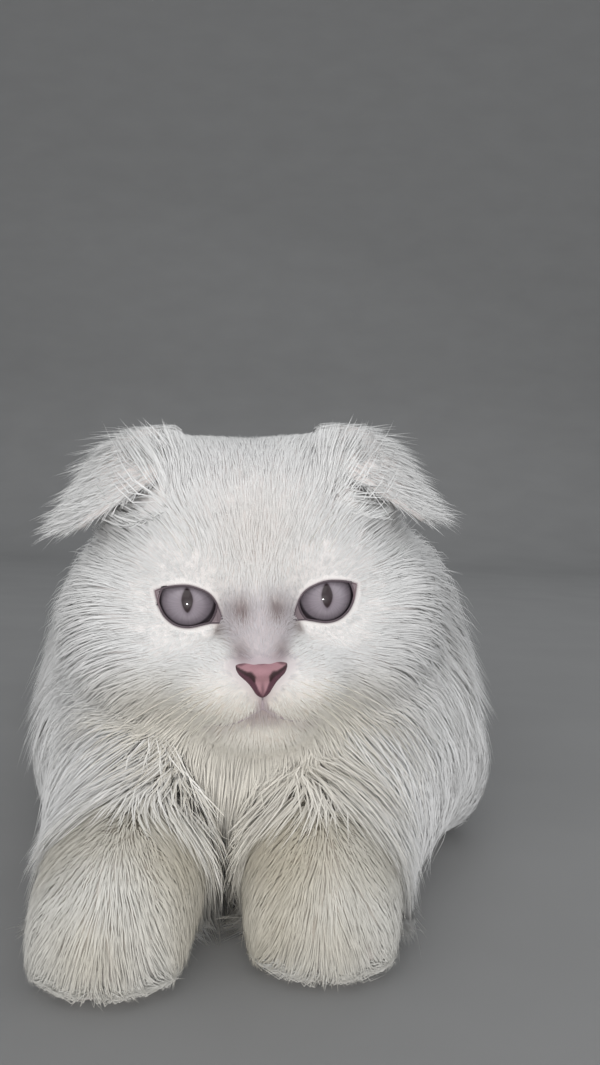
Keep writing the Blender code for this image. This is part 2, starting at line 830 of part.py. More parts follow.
def lock_paths(roots, coat, flesh, draw):
    """The middle line of each lock: it starts in the core, rises and follows the coat's way."""
    count = len(roots)
    length = coat.length * draw.uniform(0.85, 1.20, count)
    curl = draw.uniform(-0.45, 0.45, count)
    lift = coat.rise * draw.uniform(0.80, 1.10, count)
    normal = unit(flesh.slope(roots))
    lines = [roots - normal * LOCK_SINK]
    point = roots
    for step in range(1, LOCK_STEPS + 1):
        share = step / LOCK_STEPS
        normal = unit(flesh.slope(point))
        way = unit(coat.way(point))
        way = way + (curl * (share - 0.3))[:, None] * np.cross(normal, way)
        way[:, 2] *= np.where(way[:, 2] < 0.0, ramp(point[:, 2], LOCK_FLOOR, 0.018), 1.0)
        way = unit(way - normal * (way * normal).sum(1)[:, None])
        point = point + way * (length / LOCK_STEPS)[:, None]
        height = lift * share**0.7
        for _ in range(3):
            slope = flesh.slope(point)
            error = flesh.distance(point) - height
            point = point - slope * (error / np.maximum((slope**2).sum(1), 0.3))[:, None]
        point[:, 2] = np.maximum(point[:, 2], LOCK_FLOOR)
        lines.append(point)
    return np.stack(lines, axis=1)


def lock_rings(path, normals, coat, extra=0.0):
    """The corners of a lock's rings, flat across with a ridge in the middle, and its tip."""
    lowest = -extra if extra else LOWEST
    rings = []
    for at, wide, thick_share in coat.rings:
        along = unit((path[at + 1] - path[max(at - 1, 0)])[None])[0]
        out = normals[at] - along * (normals[at] @ along)
        out = out / np.linalg.norm(out)
        across = np.cross(along, out)
        width = coat.width * wide / 2.0 + SIDE_CLEARANCE * extra
        base = LOCK_BASE * coat.thickness * thick_share + extra
        ridge = (1.0 - LOCK_BASE) * coat.thickness * thick_share + RIDGE_CLEARANCE * extra
        centre = path[at] - along * (extra if at == 0 else 0.0)
        corners = centre + np.array((across * width - out * base, out * ridge, -across * width - out * base))
        if at:
            corners[:, 2] = np.maximum(corners[:, 2], lowest)
        rings.append(corners)
    tip = path[-1] + unit((path[-1] - path[-2])[None])[0] * TIP_CLEARANCE * extra
    return np.array(rings), tip


def folds(rings, tip):
    """Whether a lock bends so sharply that a corner of it would turn back on itself."""
    rows = np.concatenate([rings, np.tile(tip, (1, 3, 1))])
    steps = rows[1:] - rows[:-1]
    along = steps.mean(axis=1, keepdims=True)
    return bool(((steps * along).sum(2) < LEAST_ADVANCE * (along * along).sum(2)).any())


def lock_object(name, path, normals, coat, extra=0.0):
    """One closed lock round its middle line."""
    bm = bmesh.new()
    corners, end = lock_rings(path, normals, coat, extra)
    rings = [[bm.verts.new(Vector(corner)) for corner in ring] for ring in corners]
    tip = bm.verts.new(Vector(end))
    for low, high in zip(rings, rings[1:]):
        for at in range(3):
            after = (at + 1) % 3
            bm.faces.new((low[at], low[after], high[after]))
            bm.faces.new((low[at], high[after], high[at]))
    for at in range(3):
        bm.faces.new((rings[-1][at], rings[-1][(at + 1) % 3], tip))
    bm.faces.new(list(reversed(rings[0])))
    bmesh.ops.recalc_face_normals(bm, faces=bm.faces[:])
    return helper_from(bm, name)


def fuse(obj, pieces):
    """Joins closed pieces to the object and removes them."""
    if not pieces:
        return
    group = bpy.data.collections.new(obj.name + "_pieces")
    for piece in pieces:
        group.objects.link(piece)
    join = obj.modifiers.new("fuse", "BOOLEAN")
    join.operation = "UNION"
    join.operand_type = "COLLECTION"
    join.collection = group
    join.solver = "MANIFOLD"
    with_modifiers_applied(obj)
    for piece in pieces:
        bpy.data.objects.remove(piece)
    bpy.data.collections.remove(group)


def make_eye(side):
    bm = bmesh.new()
    bmesh.ops.create_uvsphere(bm, u_segments=14, v_segments=8, radius=EYE_RADIUS)
    pole = Matrix.Rotation(math.radians(90), 4, "X")
    where = HEAD_PLACE @ Matrix.Translation(eye_centre(side)) @ pole
    bmesh.ops.transform(bm, matrix=where, verts=bm.verts)
    return object_from(bm, "eye_" + SIDE_NAMES[side], "iris")


def smooth_row(points, count):
    """A curve through three points, as count points evenly along its parameter."""
    a, b, c = (np.array(p, float) for p in points)
    t = np.linspace(0.0, 1.0, count)[:, None]
    return a * (1 - t) * (1 - 2 * t) + b * 4 * t * (1 - t) + c * t * (2 * t - 1)


# Rows of the folded ear from its base, over the fold, to the tip. Each row runs from the inner
# edge through the middle to the outer edge, in the head's frame, for the cat's left side.
EAR_ROWS = (
    ((0.027, 0.050, 0.046), (0.044, 0.052, 0.038), (0.054, 0.048, 0.018)),
    ((0.033, 0.041, 0.058), (0.051, 0.043, 0.051), (0.062, 0.041, 0.036)),
    ((0.033, 0.022, 0.058), (0.051, 0.020, 0.051), (0.063, 0.023, 0.034)),
    ((0.030, 0.007, 0.046), (0.048, 0.002, 0.035), (0.063, 0.006, 0.026)),
)
EAR_THICKNESS = 0.0032
EAR_COLUMNS = 7
EAR_LINES = 8
EAR_PULL = 0.9


def make_ear(side):
    """The folded ear: a sheet that rises from the head, folds over and hangs forward."""
    guides = [smooth_row(row, EAR_COLUMNS) for row in EAR_ROWS]
    bm = bmesh.new()
    grid = []
    for share in np.linspace(0.0, 1.0, EAR_LINES):
        line = cubic_between(guides, share)
        grid.append([bm.verts.new((side * x, y, z)) for x, y, z in line])
    for low, high in zip(grid, grid[1:]):
        for at in range(EAR_COLUMNS - 1):
            bm.faces.new((low[at], low[at + 1], high[at + 1], high[at]))
    bmesh.ops.recalc_face_normals(bm, faces=bm.faces[:])
    bmesh.ops.transform(bm, matrix=HEAD_PLACE, verts=bm.verts)
    ear = object_from(bm, "ear_" + SIDE_NAMES[side])
    solid = ear.modifiers.new("thickness", "SOLIDIFY")
    solid.thickness = EAR_THICKNESS
    solid.offset = 0.0
    return with_modifiers_applied(ear)


def cubic_between(guides, share):
    """The Bernstein blend of four guide rows, pulled so that it passes near the middle two."""
    a, b, c, d = guides
    b, c = b + (b - (2 * a + d) / 3.0) * EAR_PULL, c + (c - (a + 2 * d) / 3.0) * EAR_PULL
    t = share
    return a * (1 - t) ** 3 + 3 * b * t * (1 - t) ** 2 + 3 * c * t * t * (1 - t) + d * t**3


# Voxel size and number of triangles of each core
FINENESS = {
    "head": (0.0022, 1450), "forepaw": (0.0025, 320), "foreleg": (0.004, 200), "neck_ruff": (0.005, 340),
    "hind_paw": (0.003, 160), "hind_leg": (0.005, 150), "tail_base": (0.004, 80),
    "tail_middle": (0.004, 80), "tail_end": (0.004, 80), "torso": (0.006, 480),
}
SEED = 9


def centre_on_floor(nodes):
    """Moves the whole model so that the middle of its outline on the floor is the origin."""
    points = np.concatenate([vertex_array(node.data) for node in nodes])
    middle = (points.min(0) + points.max(0)) / 2.0
    shift = Matrix.Translation((-middle[0], -middle[1], 0.0))
    for node in nodes:
        node.data.transform(shift)


def ear_locks(side, extra=0.0):
    """The tufts at the outer edge of a folded ear."""
    found = []
    for line in EAR_TUFTS:
        path = [HEAD_PLACE @ Vector((side * x, y, z)) for x, y, z in smooth_row(line, LOCK_STEPS + 1)]
        faces = HEAD_PLACE.to_3x3() @ Vector((side * EAR_TUFT_FACES[0], *EAR_TUFT_FACES[1:]))
        normals = np.tile(faces, (len(path), 1))
        found.append(lock_object("ear_tuft", np.array(path), normals, EAR_TUFT, extra))
    return found


def meets(path, laid):
    """Whether the outer half of a lock comes too near a lock of an earlier node."""
    if not laid:
        return False
    gaps = np.linalg.norm(np.array(laid)[None] - path[LOCK_STEPS // 2:, None], axis=2)
    return gaps.min() < LOCK_CLEAR


def grow_coats(nodes, forms):
    """The locks of each node, and a fatter copy of each that keeps its neighbours clear of it."""
    flesh = Form(list(forms.values()), FLESH_BLEND)
    draw = np.random.default_rng(SEED)
    locks = {"ear_" + SIDE_NAMES[side]: ear_locks(side) for side in (LEFT, RIGHT)}
    copies = {"ear_" + SIDE_NAMES[side]: ear_locks(side, FACE_GAP) for side in (LEFT, RIGHT)}
    laid = []
    for node in nodes:
        others = [form for name, form in forms.items() if name != node.name]
        taken, own = [], []
        for coat in COATS.get(node.name, ()):
            roots = lock_roots(node, coat, others, taken, draw)
            taken += list(roots)
            for path in lock_paths(roots, coat, flesh, draw):
                normals = unit(flesh.slope(path))
                if meets(path, laid) or folds(*lock_rings(path, normals, coat, FACE_GAP)):
                    continue
                locks.setdefault(node.name, []).append(lock_object("lock", path, normals, coat))
                copy = lock_object("lock_clearance", path, normals, coat, FACE_GAP)
                copies.setdefault(node.name, []).append(copy)
                own += list(path[1:])
        laid += own
    return locks, copies


def main():
    clear_scene()
    nodes = both_sides(make_eye)
    nodes.append(form_object("nose", nose_form().moved(HEAD_PLACE), 0.0008, 170, finish="nose"))
    nodes += both_sides(make_ear)
    forms = cores()
    for name, form in forms.items():
        voxel, triangles = FINENESS[name.replace("_left", "").replace("_right", "")]
        plain_part = behind_the_face if name == "head" else None
        nodes.append(form_object(name, form, voxel, triangles, plain_part=plain_part))
    clearances = {node.name: [grown_copy(node, FACE_GAP)] for node in nodes}
    locks, copies = grow_coats(nodes, forms)
    for node in nodes:
        clearances[node.name] += copies.get(node.name, [])
        fuse(node, locks.get(node.name, []))
    details = {"head": both_sides(lid_cutter) + both_sides(mouth_cutter), "nose": both_sides(nostril_cutter)}
    for at, node in enumerate(nodes):
        neighbours = [piece for other in nodes[:at] for piece in clearances[other.name]]
        subtract(node, neighbours + details.get(node.name, []))
    for helper in [obj for obj in bpy.data.objects if obj.hide_render]:
        bpy.data.objects.remove(helper)
    centre_on_floor(nodes)


main()
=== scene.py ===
"""The looks of a white longhaired fold-eared cat at rest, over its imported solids.

Lengths are in metres. The forms are written in the cat's own frame, where it faces -Y with its eyes
over Y = 0 and its left side at +X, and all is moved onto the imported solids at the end. One skin lies
inside the coat. The coat is made of thin, tapered tufts that follow the lie of the hair.
"""

import math

import bmesh
import bpy
import numpy as np
from mathutils import Matrix, Vector
from mathutils.kdtree import KDTree

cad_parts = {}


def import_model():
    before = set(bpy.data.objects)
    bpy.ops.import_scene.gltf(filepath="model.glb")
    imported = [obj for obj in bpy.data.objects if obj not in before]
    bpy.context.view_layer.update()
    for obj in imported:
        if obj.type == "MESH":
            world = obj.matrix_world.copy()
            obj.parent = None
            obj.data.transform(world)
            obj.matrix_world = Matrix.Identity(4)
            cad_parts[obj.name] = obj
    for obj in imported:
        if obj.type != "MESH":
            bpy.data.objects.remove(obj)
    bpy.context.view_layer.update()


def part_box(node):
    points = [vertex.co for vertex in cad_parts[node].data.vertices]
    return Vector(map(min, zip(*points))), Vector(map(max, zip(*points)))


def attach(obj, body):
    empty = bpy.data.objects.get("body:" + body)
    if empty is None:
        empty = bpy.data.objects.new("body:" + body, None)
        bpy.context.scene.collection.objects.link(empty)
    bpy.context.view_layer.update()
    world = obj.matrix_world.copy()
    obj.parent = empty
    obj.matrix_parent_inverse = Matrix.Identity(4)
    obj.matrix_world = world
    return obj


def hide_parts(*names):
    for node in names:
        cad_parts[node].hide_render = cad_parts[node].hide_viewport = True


# The head, as in the solids
EYE_SPACING = 0.048
EYE_RADIUS = 0.0116
EYE_SINK = 0.0008
LID_RADIUS = 0.0134
LID_BLEND = 0.004
MUZZLE_BLEND = 0.009
EYE_HEIGHT = 0.1085
HEAD_SIDE_SHIFT = 0.0020
HEAD_YAW = math.radians(6.0)
HEAD_ROLL = math.radians(-2.7)
HEAD_PLACE = (
    Matrix.Translation((HEAD_SIDE_SHIFT, 0.0, EYE_HEIGHT))
    @ Matrix.Rotation(HEAD_YAW, 4, "Z")
    @ Matrix.Rotation(HEAD_ROLL, 4, "Y")
)
NOSE_TIP = np.array((0.0, -0.0290, -0.0200))

# How far the core of each coat lies inside the tips of its hair
RUFF_DEPTH = 0.012
TORSO_DEPTH = 0.009
HAUNCH_DEPTH = 0.008
TAIL_DEPTH = 0.012

LEFT, RIGHT = 1, -1
SIDE_NAMES = {LEFT: "left", RIGHT: "right"}
LIMB_KINDS = ("foreleg", "forepaw", "hind_leg", "hind_paw")
SEED = 5

# The camera, from the photo's perspective on the eyes
CAMERA_PLACE = (0.017, -0.281, 0.144)
CAMERA_PITCH = math.radians(2.4)
CAMERA_ROLL = math.radians(1.5)
FOCAL_PIXELS = 790.0
PHOTO_HEIGHT = 1065.0
SENSOR = 36.0


def unit(rows):
    """The rows as directions of length 1."""
    return rows / np.maximum(np.linalg.norm(rows, axis=1), 1e-9)[:, None]


def ramp(values, low, high):
    """0 below low, 1 above high and smooth between."""
    t = np.clip((values - low) / (high - low), 0.0, 1.0)
    return t * t * (3.0 - 2.0 * t)


def band(values, low, full_from, full_to, high):
    """1 between the two middle values, and falling to 0 at the outer two."""
    return ramp(values, low, full_from) * ramp(-values, -high, -full_to)


def spot(x, z, middle, reach):
    """1 in the middle of a soft round mark and 0 well outside it."""
    return np.exp(-(((x - middle[0]) / reach[0]) ** 2) - ((z - middle[1]) / reach[1]) ** 2)


def placed(points, matrix):
    """The points moved by a matrix."""
    spin = np.array(matrix.to_3x3())
    return np.asarray(points, float) @ spin.T + np.array(matrix.translation)


def in_head(points):
    """The points in the head's own frame."""
    return placed(points, HEAD_PLACE.inverted())


class Ball:
    """An ellipsoid: its centre, its three radii and a turn about its centre."""

    def __init__(self, centre, radii, turn=None):
        self.centre = np.array(centre, float)
        self.radii = np.array(radii, float)
        self.turn = np.array(turn if turn is not None else Matrix.Identity(3), float)

    def distance(self, points):
        """How far points lie outside the ball, nearly."""
        local = (points - self.centre) @ self.turn
        scaled = np.linalg.norm(local / self.radii, axis=1)
        slope = np.linalg.norm(local / self.radii**2, axis=1)
        return scaled * (scaled - 1.0) / np.maximum(slope, 1e-9)

    def seeds(self, depth):
        """The ball itself, drawn in by a depth, as a matrix for a unit sphere."""
        spin = Matrix(self.turn.tolist()).to_4x4()
        return [Matrix.Translation(self.centre) @ spin @ Matrix.Diagonal((*(self.radii - depth), 1.0))]

    def moved(self, place):
        return Ball(place @ Vector(self.centre), self.radii, np.array(place.to_3x3()) @ self.turn)


class Limb:
    """A round limb that tapers from one joint to the next."""

    def __init__(self, start, end, start_radius, end_radius):
        self.start = np.array(start, float)
        self.end = np.array(end, float)
        self.start_radius = start_radius
        self.end_radius = end_radius

    def distance(self, points):
        """How far points lie outside the limb."""
        axis = self.end - self.start
        along = np.clip((points - self.start) @ axis / (axis @ axis), 0.0, 1.0)
        radius = self.start_radius + along * (self.end_radius - self.start_radius)
        return np.linalg.norm(points - self.start - along[:, None] * axis, axis=1) - radius

    def seeds(self, depth):
        """A row of overlapping spheres along the limb, drawn in by a depth."""
        length = np.linalg.norm(self.end - self.start)
        count = 2 + int(length / (0.4 * (min(self.start_radius, self.end_radius) - depth)))
        found = []
        for share in np.linspace(0.0, 1.0, count):
            centre = self.start + share * (self.end - self.start)
            radius = self.start_radius + share * (self.end_radius - self.start_radius) - depth
            found.append(Matrix.Translation(centre) @ Matrix.Scale(radius, 4))
        return found

    def moved(self, place):
        start, end = place @ Vector(self.start), place @ Vector(self.end)
        return Limb(start, end, self.start_radius, self.end_radius)


class Form:
    """Shapes that flow into one another over a blend width, as flesh does."""

    def __init__(self, shapes, blend, depth=0.0):
        self.shapes = shapes
        self.blend = blend
        self.depth = depth

    def distance(self, points):
        """How far points lie outside the blended shapes, drawn in by the depth."""
        total = self.shapes[0].distance(points)
        for shape in self.shapes[1:]:
            other = shape.distance(points)
            near = np.maximum(self.blend - np.abs(total - other), 0.0) / self.blend
            total = np.minimum(total, other) - near * near * self.blend / 4.0
        return total + self.depth

    def slope(self, points, here):
        """The slope at the points, where the distances are already known."""
        step = 2e-4
        columns = []
        for axis in range(3):
            shift = np.zeros(3)
            shift[axis] = step
            columns.append(self.distance(points + shift) - here)
        return np.stack(columns, axis=1) / step

    def seeds(self, depth=0.0):
        return [matrix for shape in self.shapes for matrix in shape.seeds(self.depth + depth)]

    def moved(self, place):
        return Form([shape.moved(place) for shape in self.shapes], self.blend, self.depth)


class Grid:
    """A form's distances and slopes, read once on an even grid and blended between its points."""

    def __init__(self, form, low, high, step):
        self.low = np.array(low)
        self.step = step
        axes = [np.arange(a, b + step, step) for a, b in zip(low, high)]
        self.shape = np.array([len(axis) for axis in axes])
        places = np.stack(np.meshgrid(*axes, indexing="ij"), axis=-1)
        values = np.stack([form.distance(sheet.reshape(-1, 3)) for sheet in places])
        values = values.reshape(self.shape)
        slopes = np.gradient(values, step)
        self.values = np.stack([values, *slopes], axis=-1).astype(np.float32)

    def read(self, points):
        """The distance and the slope at each point."""
        local = (points - self.low) / self.step
        base = np.clip(np.floor(local).astype(int), 0, self.shape - 2)
        part = np.clip(local - base, 0.0, 1.0)
        total = np.zeros((len(points), 4))
        for corner in np.ndindex(2, 2, 2):
            share = np.prod(np.where(corner, part, 1.0 - part), axis=1)
            x, y, z = (base + corner).T
            total += share[:, None] * self.values[x, y, z]
        return total[:, 0], total[:, 1:]


def ball_pairs(*rows):
    """A ball on each side of the middle for each row of a place and its radii."""
    return [Ball((side * x, y, z), radii) for (x, y, z), radii in rows for side in (LEFT, RIGHT)]


def head_form():
    """The skull, cheeks and brows under the short coat of the face."""
    shapes = [
        Ball((0, 0.042, 0.012), (0.050, 0.052, 0.046)),
        Ball((0, 0.012, 0.018), (0.036, 0.024, 0.028)),
        Ball((0, 0.014, -0.030), (0.034, 0.028, 0.019)),
    ]
    shapes += ball_pairs(
        ((0.026, 0.036, 0.032), (0.027, 0.032, 0.027)),
        ((0.023, 0.004, 0.014), (0.017, 0.013, 0.011)),
        ((0.038, 0.028, -0.010), (0.030, 0.035, 0.033)),
        ((0.027, 0.006, -0.019), (0.019, 0.014, 0.015)),
    )
    return Form(shapes, 0.012)


def muzzle_form():
    """The bridge of the nose, the whisker pads and the chin."""
    shapes = [
        Limb((0, -0.002, 0.008), (0, -0.0185, -0.0165), 0.0120, 0.0098),
        Ball((0, -0.006, -0.028), (0.026, 0.021, 0.017)),
        Ball((0, -0.010, -0.0430), (0.0170, 0.0130, 0.0085)),
    ]
    shapes += ball_pairs(((0.0120, -0.0160, -0.0285), (0.0150, 0.0118, 0.0092)))
    return Form(shapes, 0.007)


def eye_centre(side):
    """The middle of an eyeball, in the head's frame."""
    return Vector((side * EYE_SPACING / 2.0, EYE_SINK, 0.0))


def bare_face_form():
    """The head and the muzzle without the lids."""
    return Form([head_form(), muzzle_form()], MUZZLE_BLEND)


def face_form():
    """The whole head, with the lids swelling over the eyes."""
    lids = [Ball(eye_centre(side), (LID_RADIUS,) * 3) for side in (LEFT, RIGHT)]
    return Form([bare_face_form(), *lids], LID_BLEND)


def neck_form():
    """The neck, the ruff that frames the face and the bib down to the floor."""
    shapes = [
        Ball((0.001, 0.056, 0.098), (0.089, 0.042, 0.062)),
        Ball((0.001, 0.060, 0.058), (0.080, 0.038, 0.050)),
        Ball((0.001, 0.025, 0.040), (0.055, 0.037, 0.058)),
        Limb((0.001, 0.074, 0.110), (0.0, 0.110, 0.092), 0.057, 0.062),
    ]
    return Form(shapes, 0.020, RUFF_DEPTH)


def torso_form():
    """Shoulders, barrel and rump."""
    shapes = [
        Ball((0, 0.104, 0.072), (0.086, 0.068, 0.080)),
        Ball((0, 0.165, 0.070), (0.096, 0.095, 0.084)),
        Ball((0, 0.238, 0.068), (0.096, 0.084, 0.082)),
        Ball((0, 0.284, 0.062), (0.078, 0.052, 0.070)),
    ]
    shapes += ball_pairs(((0.050, 0.094, 0.060), (0.046, 0.050, 0.062)))
    return Form(shapes, 0.022, TORSO_DEPTH)


# The joints of the forelegs and the middles of the forepaws
WRIST = {RIGHT: (-0.039, -0.016, 0.022), LEFT: (0.031, -0.006, 0.022)}
PAW = {RIGHT: (-0.0365, -0.037, 0.0185), LEFT: (0.0270, -0.026, 0.0185)}
ELBOW = {RIGHT: (-0.059, 0.056, 0.032), LEFT: (0.067, 0.062, 0.032)}


def foreleg_form(side):
    """The upper arm and the forearm."""
    shoulder = (side * 0.050, 0.082, 0.068)
    upper = Limb(shoulder, ELBOW[side], 0.036, 0.030)
    return Form([upper, Limb(ELBOW[side], WRIST[side], 0.029, 0.0195)], 0.012)


def forepaw_form(side):
    """The ball of the paw and its four toes."""
    x, y, z = PAW[side]
    shapes = [Ball((x, y, z), (0.0235, 0.0285, 0.0215))]
    for across in (-0.0135, -0.0048, 0.0048, 0.0135):
        reach = 0.021 - 30.0 * across * across
        shapes.append(Ball((x + across, y - reach, 0.0125), (0.0080, 0.0115, 0.0140)))
    return Form(shapes, 0.005)


def hind_leg_form(side):
    """The folded thigh and shank."""
    thigh = Ball((side * 0.066, 0.232, 0.056), (0.040, 0.068, 0.060))
    shank = Limb((side * 0.072, 0.262, 0.030), (side * 0.080, 0.215, 0.022), 0.027, 0.024)
    return Form([thigh, shank], 0.018, HAUNCH_DEPTH)


def hind_paw_form(side):
    """The long foot and the paw at its end."""
    foot = Limb((side * 0.082, 0.200, 0.0150), (side * 0.085, 0.150, 0.0140), 0.0175, 0.0155)
    return Form([foot, Ball((side * 0.085, 0.136, 0.0145), (0.020, 0.026, 0.0165))], 0.008)


# The tail's middle line and its radius at each point
TAIL_POINTS = (
    (-0.020, 0.318, 0.040), (-0.060, 0.350, 0.034), (-0.094, 0.346, 0.031), (-0.116, 0.318, 0.030),
    (-0.123, 0.284, 0.029), (-0.123, 0.250, 0.028), (-0.119, 0.212, 0.025),
)
TAIL_RADII = (0.020, 0.027, 0.0295, 0.030, 0.029, 0.026, 0.014)


def tail_form():
    """The tail, curled round the cat's side."""
    rows = zip(TAIL_POINTS, TAIL_POINTS[1:], TAIL_RADII, TAIL_RADII[1:])
    return Form([Limb(*row) for row in rows], 0.008, TAIL_DEPTH)


def nose_form():
    """The bare nose leather: a wedge with a broad top, two thin wings and a foot over the lip."""
    shapes = [
        Ball((0, -0.0246, -0.0205), (0.0068, 0.0064, 0.0033)),
        Limb((0, -0.0262, -0.0226), (0, -0.0282, -0.0276), 0.0036, 0.0011),
    ]
    for start, end, radii in (
        ((0.0050, -0.0252, -0.0208), (0.0013, -0.0276, -0.0262), (0.0031, 0.0016)),
        ((0.0048, -0.0252, -0.0199), (0.0090, -0.0246, -0.0190), (0.0022, 0.0009)),
    ):
        for side in (LEFT, RIGHT):
            shapes.append(Limb((side * start[0], *start[1:]), (side * end[0], *end[1:]), *radii))
    return Form(shapes, 0.0022)


def body_forms():
    """The form of each region that carries its own kind of coat."""
    forms = {"head": face_form().moved(HEAD_PLACE), "neck": neck_form(), "torso": torso_form()}
    forms["tail"] = tail_form()
    for kind, make in zip(LIMB_KINDS, (foreleg_form, forepaw_form, hind_leg_form, hind_paw_form)):
        for side in (LEFT, RIGHT):
            forms[kind + "_" + SIDE_NAMES[side]] = make(side)
    return forms


# The lie of the coat. Each function gives the way the hair points at every point.


def torso_way(points):
    """Back along the spine, and down the flanks and over the rump."""
    x, y, _ = points.T
    side = np.clip(x / 0.095, -1.0, 1.0)
    down = np.abs(side) ** 1.5
    rump = ramp(y, 0.26, 0.32)
    return np.stack([0.15 * side, 1.0 - 0.35 * down - 0.4 * rump, -0.95 * down - 0.8 * rump], axis=1)


def ruff_way(points):
    """Outward round the face, then back over the neck, and down the chest and over the forearms."""
    x, y, z = points.T
    outward = unit(np.stack([x - HEAD_SIDE_SHIFT, 0.0 * y, z - 0.108], axis=1))
    chest = ramp(-z, -0.095, -0.060) * ramp(-y, -0.075, -0.035)
    nape = ramp(z, 0.115, 0.145)
    way = outward * 0.8 + np.array([0.0, 0.45, -0.45])
    down = np.stack([9.0 * x, -0.60 + 0.0 * y, -0.80 + 0.0 * z], axis=1)
    way += chest[:, None] * (down - way)
    return way + nape[:, None] * (np.array([0.0, 1.0, 0.0]) - way)


def haunch_way(points):
    """Back and down over the haunches."""
    return np.tile((0.0, 0.75, -0.70), (len(points), 1))


def tail_way(points):
    """Along the tail towards its tip, and a little down."""
    spine = np.array(TAIL_POINTS)
    legs = spine[1:] - spine[:-1]
    middles = (spine[1:] + spine[:-1]) / 2.0
    gaps = np.linalg.norm(points[:, None, :] - middles[None], axis=2)
    weights = np.exp(-((gaps / 0.022) ** 2)) + 1e-9
    return unit(weights @ unit(legs)) + np.array([0.0, 0.0, -0.22])


def foreleg_way(points):
    """Forward and down along the forearm, fanning out to its own side."""
    side = np.sign(points[:, 0])
    back = ramp(points[:, 1], 0.055, 0.085)
    return np.stack([0.40 * side, -0.85 + 1.2 * back, -0.50 - 0.2 * back], axis=1)


def paw_way(points):
    """Forward and down over the toes, fanning out to both sides."""
    middle = np.where(points[:, 0] > 0.0, PAW[LEFT][0], PAW[RIGHT][0])
    across = (points[:, 0] - middle) / 0.020
    low = ramp(-points[:, 2], -0.026, -0.008)
    return np.stack([1.1 * across, -0.9 + 0.3 * low, -0.45 - 0.5 * low], axis=1)


def hind_paw_way(points):
    """Forward and down over the hind feet."""
    return np.tile((0.0, -1.0, -0.35), (len(points), 1))


def head_way(points):
    """Away from the nose all over the head, clear of the eyes, and hanging at the cheeks."""
    local = in_head(points)
    away = unit(local - NOSE_TIP)
    reach = np.linalg.norm(local - NOSE_TIP, axis=1)
    long_hair = ramp(reach, 0.040, 0.070) * ramp(-local[:, 2], -0.035, 0.010)
    way = away + long_hair[:, None] * np.array([0.0, 0.30, -0.65])
    for side in (LEFT, RIGHT):
        from_eye = local - np.array(eye_centre(side))
        gap = np.linalg.norm(from_eye[:, [0, 2]], axis=1)
        near = 1.0 - ramp(gap, 0.012, 0.024)
        way += near[:, None] * unit(from_eye * np.array([1.0, 0.0, 1.0])) * 1.6
    return way @ np.array(HEAD_PLACE.to_3x3()).T


class Coat:
    """How the hair of a region grows: its way, its size in metres, and how it curls and clumps."""

    def __init__(self, way, length, rise, width, spacing, curl, clump):
        self.way = way
        self.numbers = (length, rise, width, spacing, curl, clump)


# Each region's coat: its way, then length, rise, width of a hair, spacing, curl and clumping
COATS = {
    "head": Coat(head_way, 0.0350, 0.0115, 0.00068, 0.00108, 0.28, 0.25),
    "neck": Coat(ruff_way, 0.0540, 0.0110, 0.00108, 0.00120, 0.34, 0.28),
    "torso": Coat(torso_way, 0.0480, 0.0070, 0.00120, 0.00245, 0.45, 0.45),
    "tail": Coat(tail_way, 0.0460, 0.0120, 0.00112, 0.00215, 0.45, 0.50),
    "foreleg": Coat(foreleg_way, 0.0400, 0.0085, 0.00105, 0.00125, 0.32, 0.30),
    "forepaw": Coat(paw_way, 0.0110, 0.0030, 0.00066, 0.00100, 0.22, 0.12),
    "hind_leg": Coat(haunch_way, 0.0430, 0.0075, 0.00115, 0.00235, 0.45, 0.45),
    "hind_paw": Coat(hind_paw_way, 0.0140, 0.0026, 0.00066, 0.00150, 0.25, 0.25),
}
REGION_BLEND = 0.004

# Where the coat changes along a region, in the cat's frame: from and to, along one axis
WRISTS = (0.011, 0.021)
UPPER_ARMS = (0.015, 0.045)
BIB_TOP = (0.070, 0.095)
CROWN = (0.130, 0.158)
# The raised root of the ear in the head's frame, and the longer hair along the fold's lower edge
EAR_ROOT_MIDDLE = (0.036, 0.032, 0.060)
EAR_ROOT_REACH = 0.022
UNDER_EAR_DROP = 0.004
UNDER_EAR_REACH = 0.0085
UNDER_EAR_LENGTH = 0.008
UNDER_EAR_RISE = 0.011


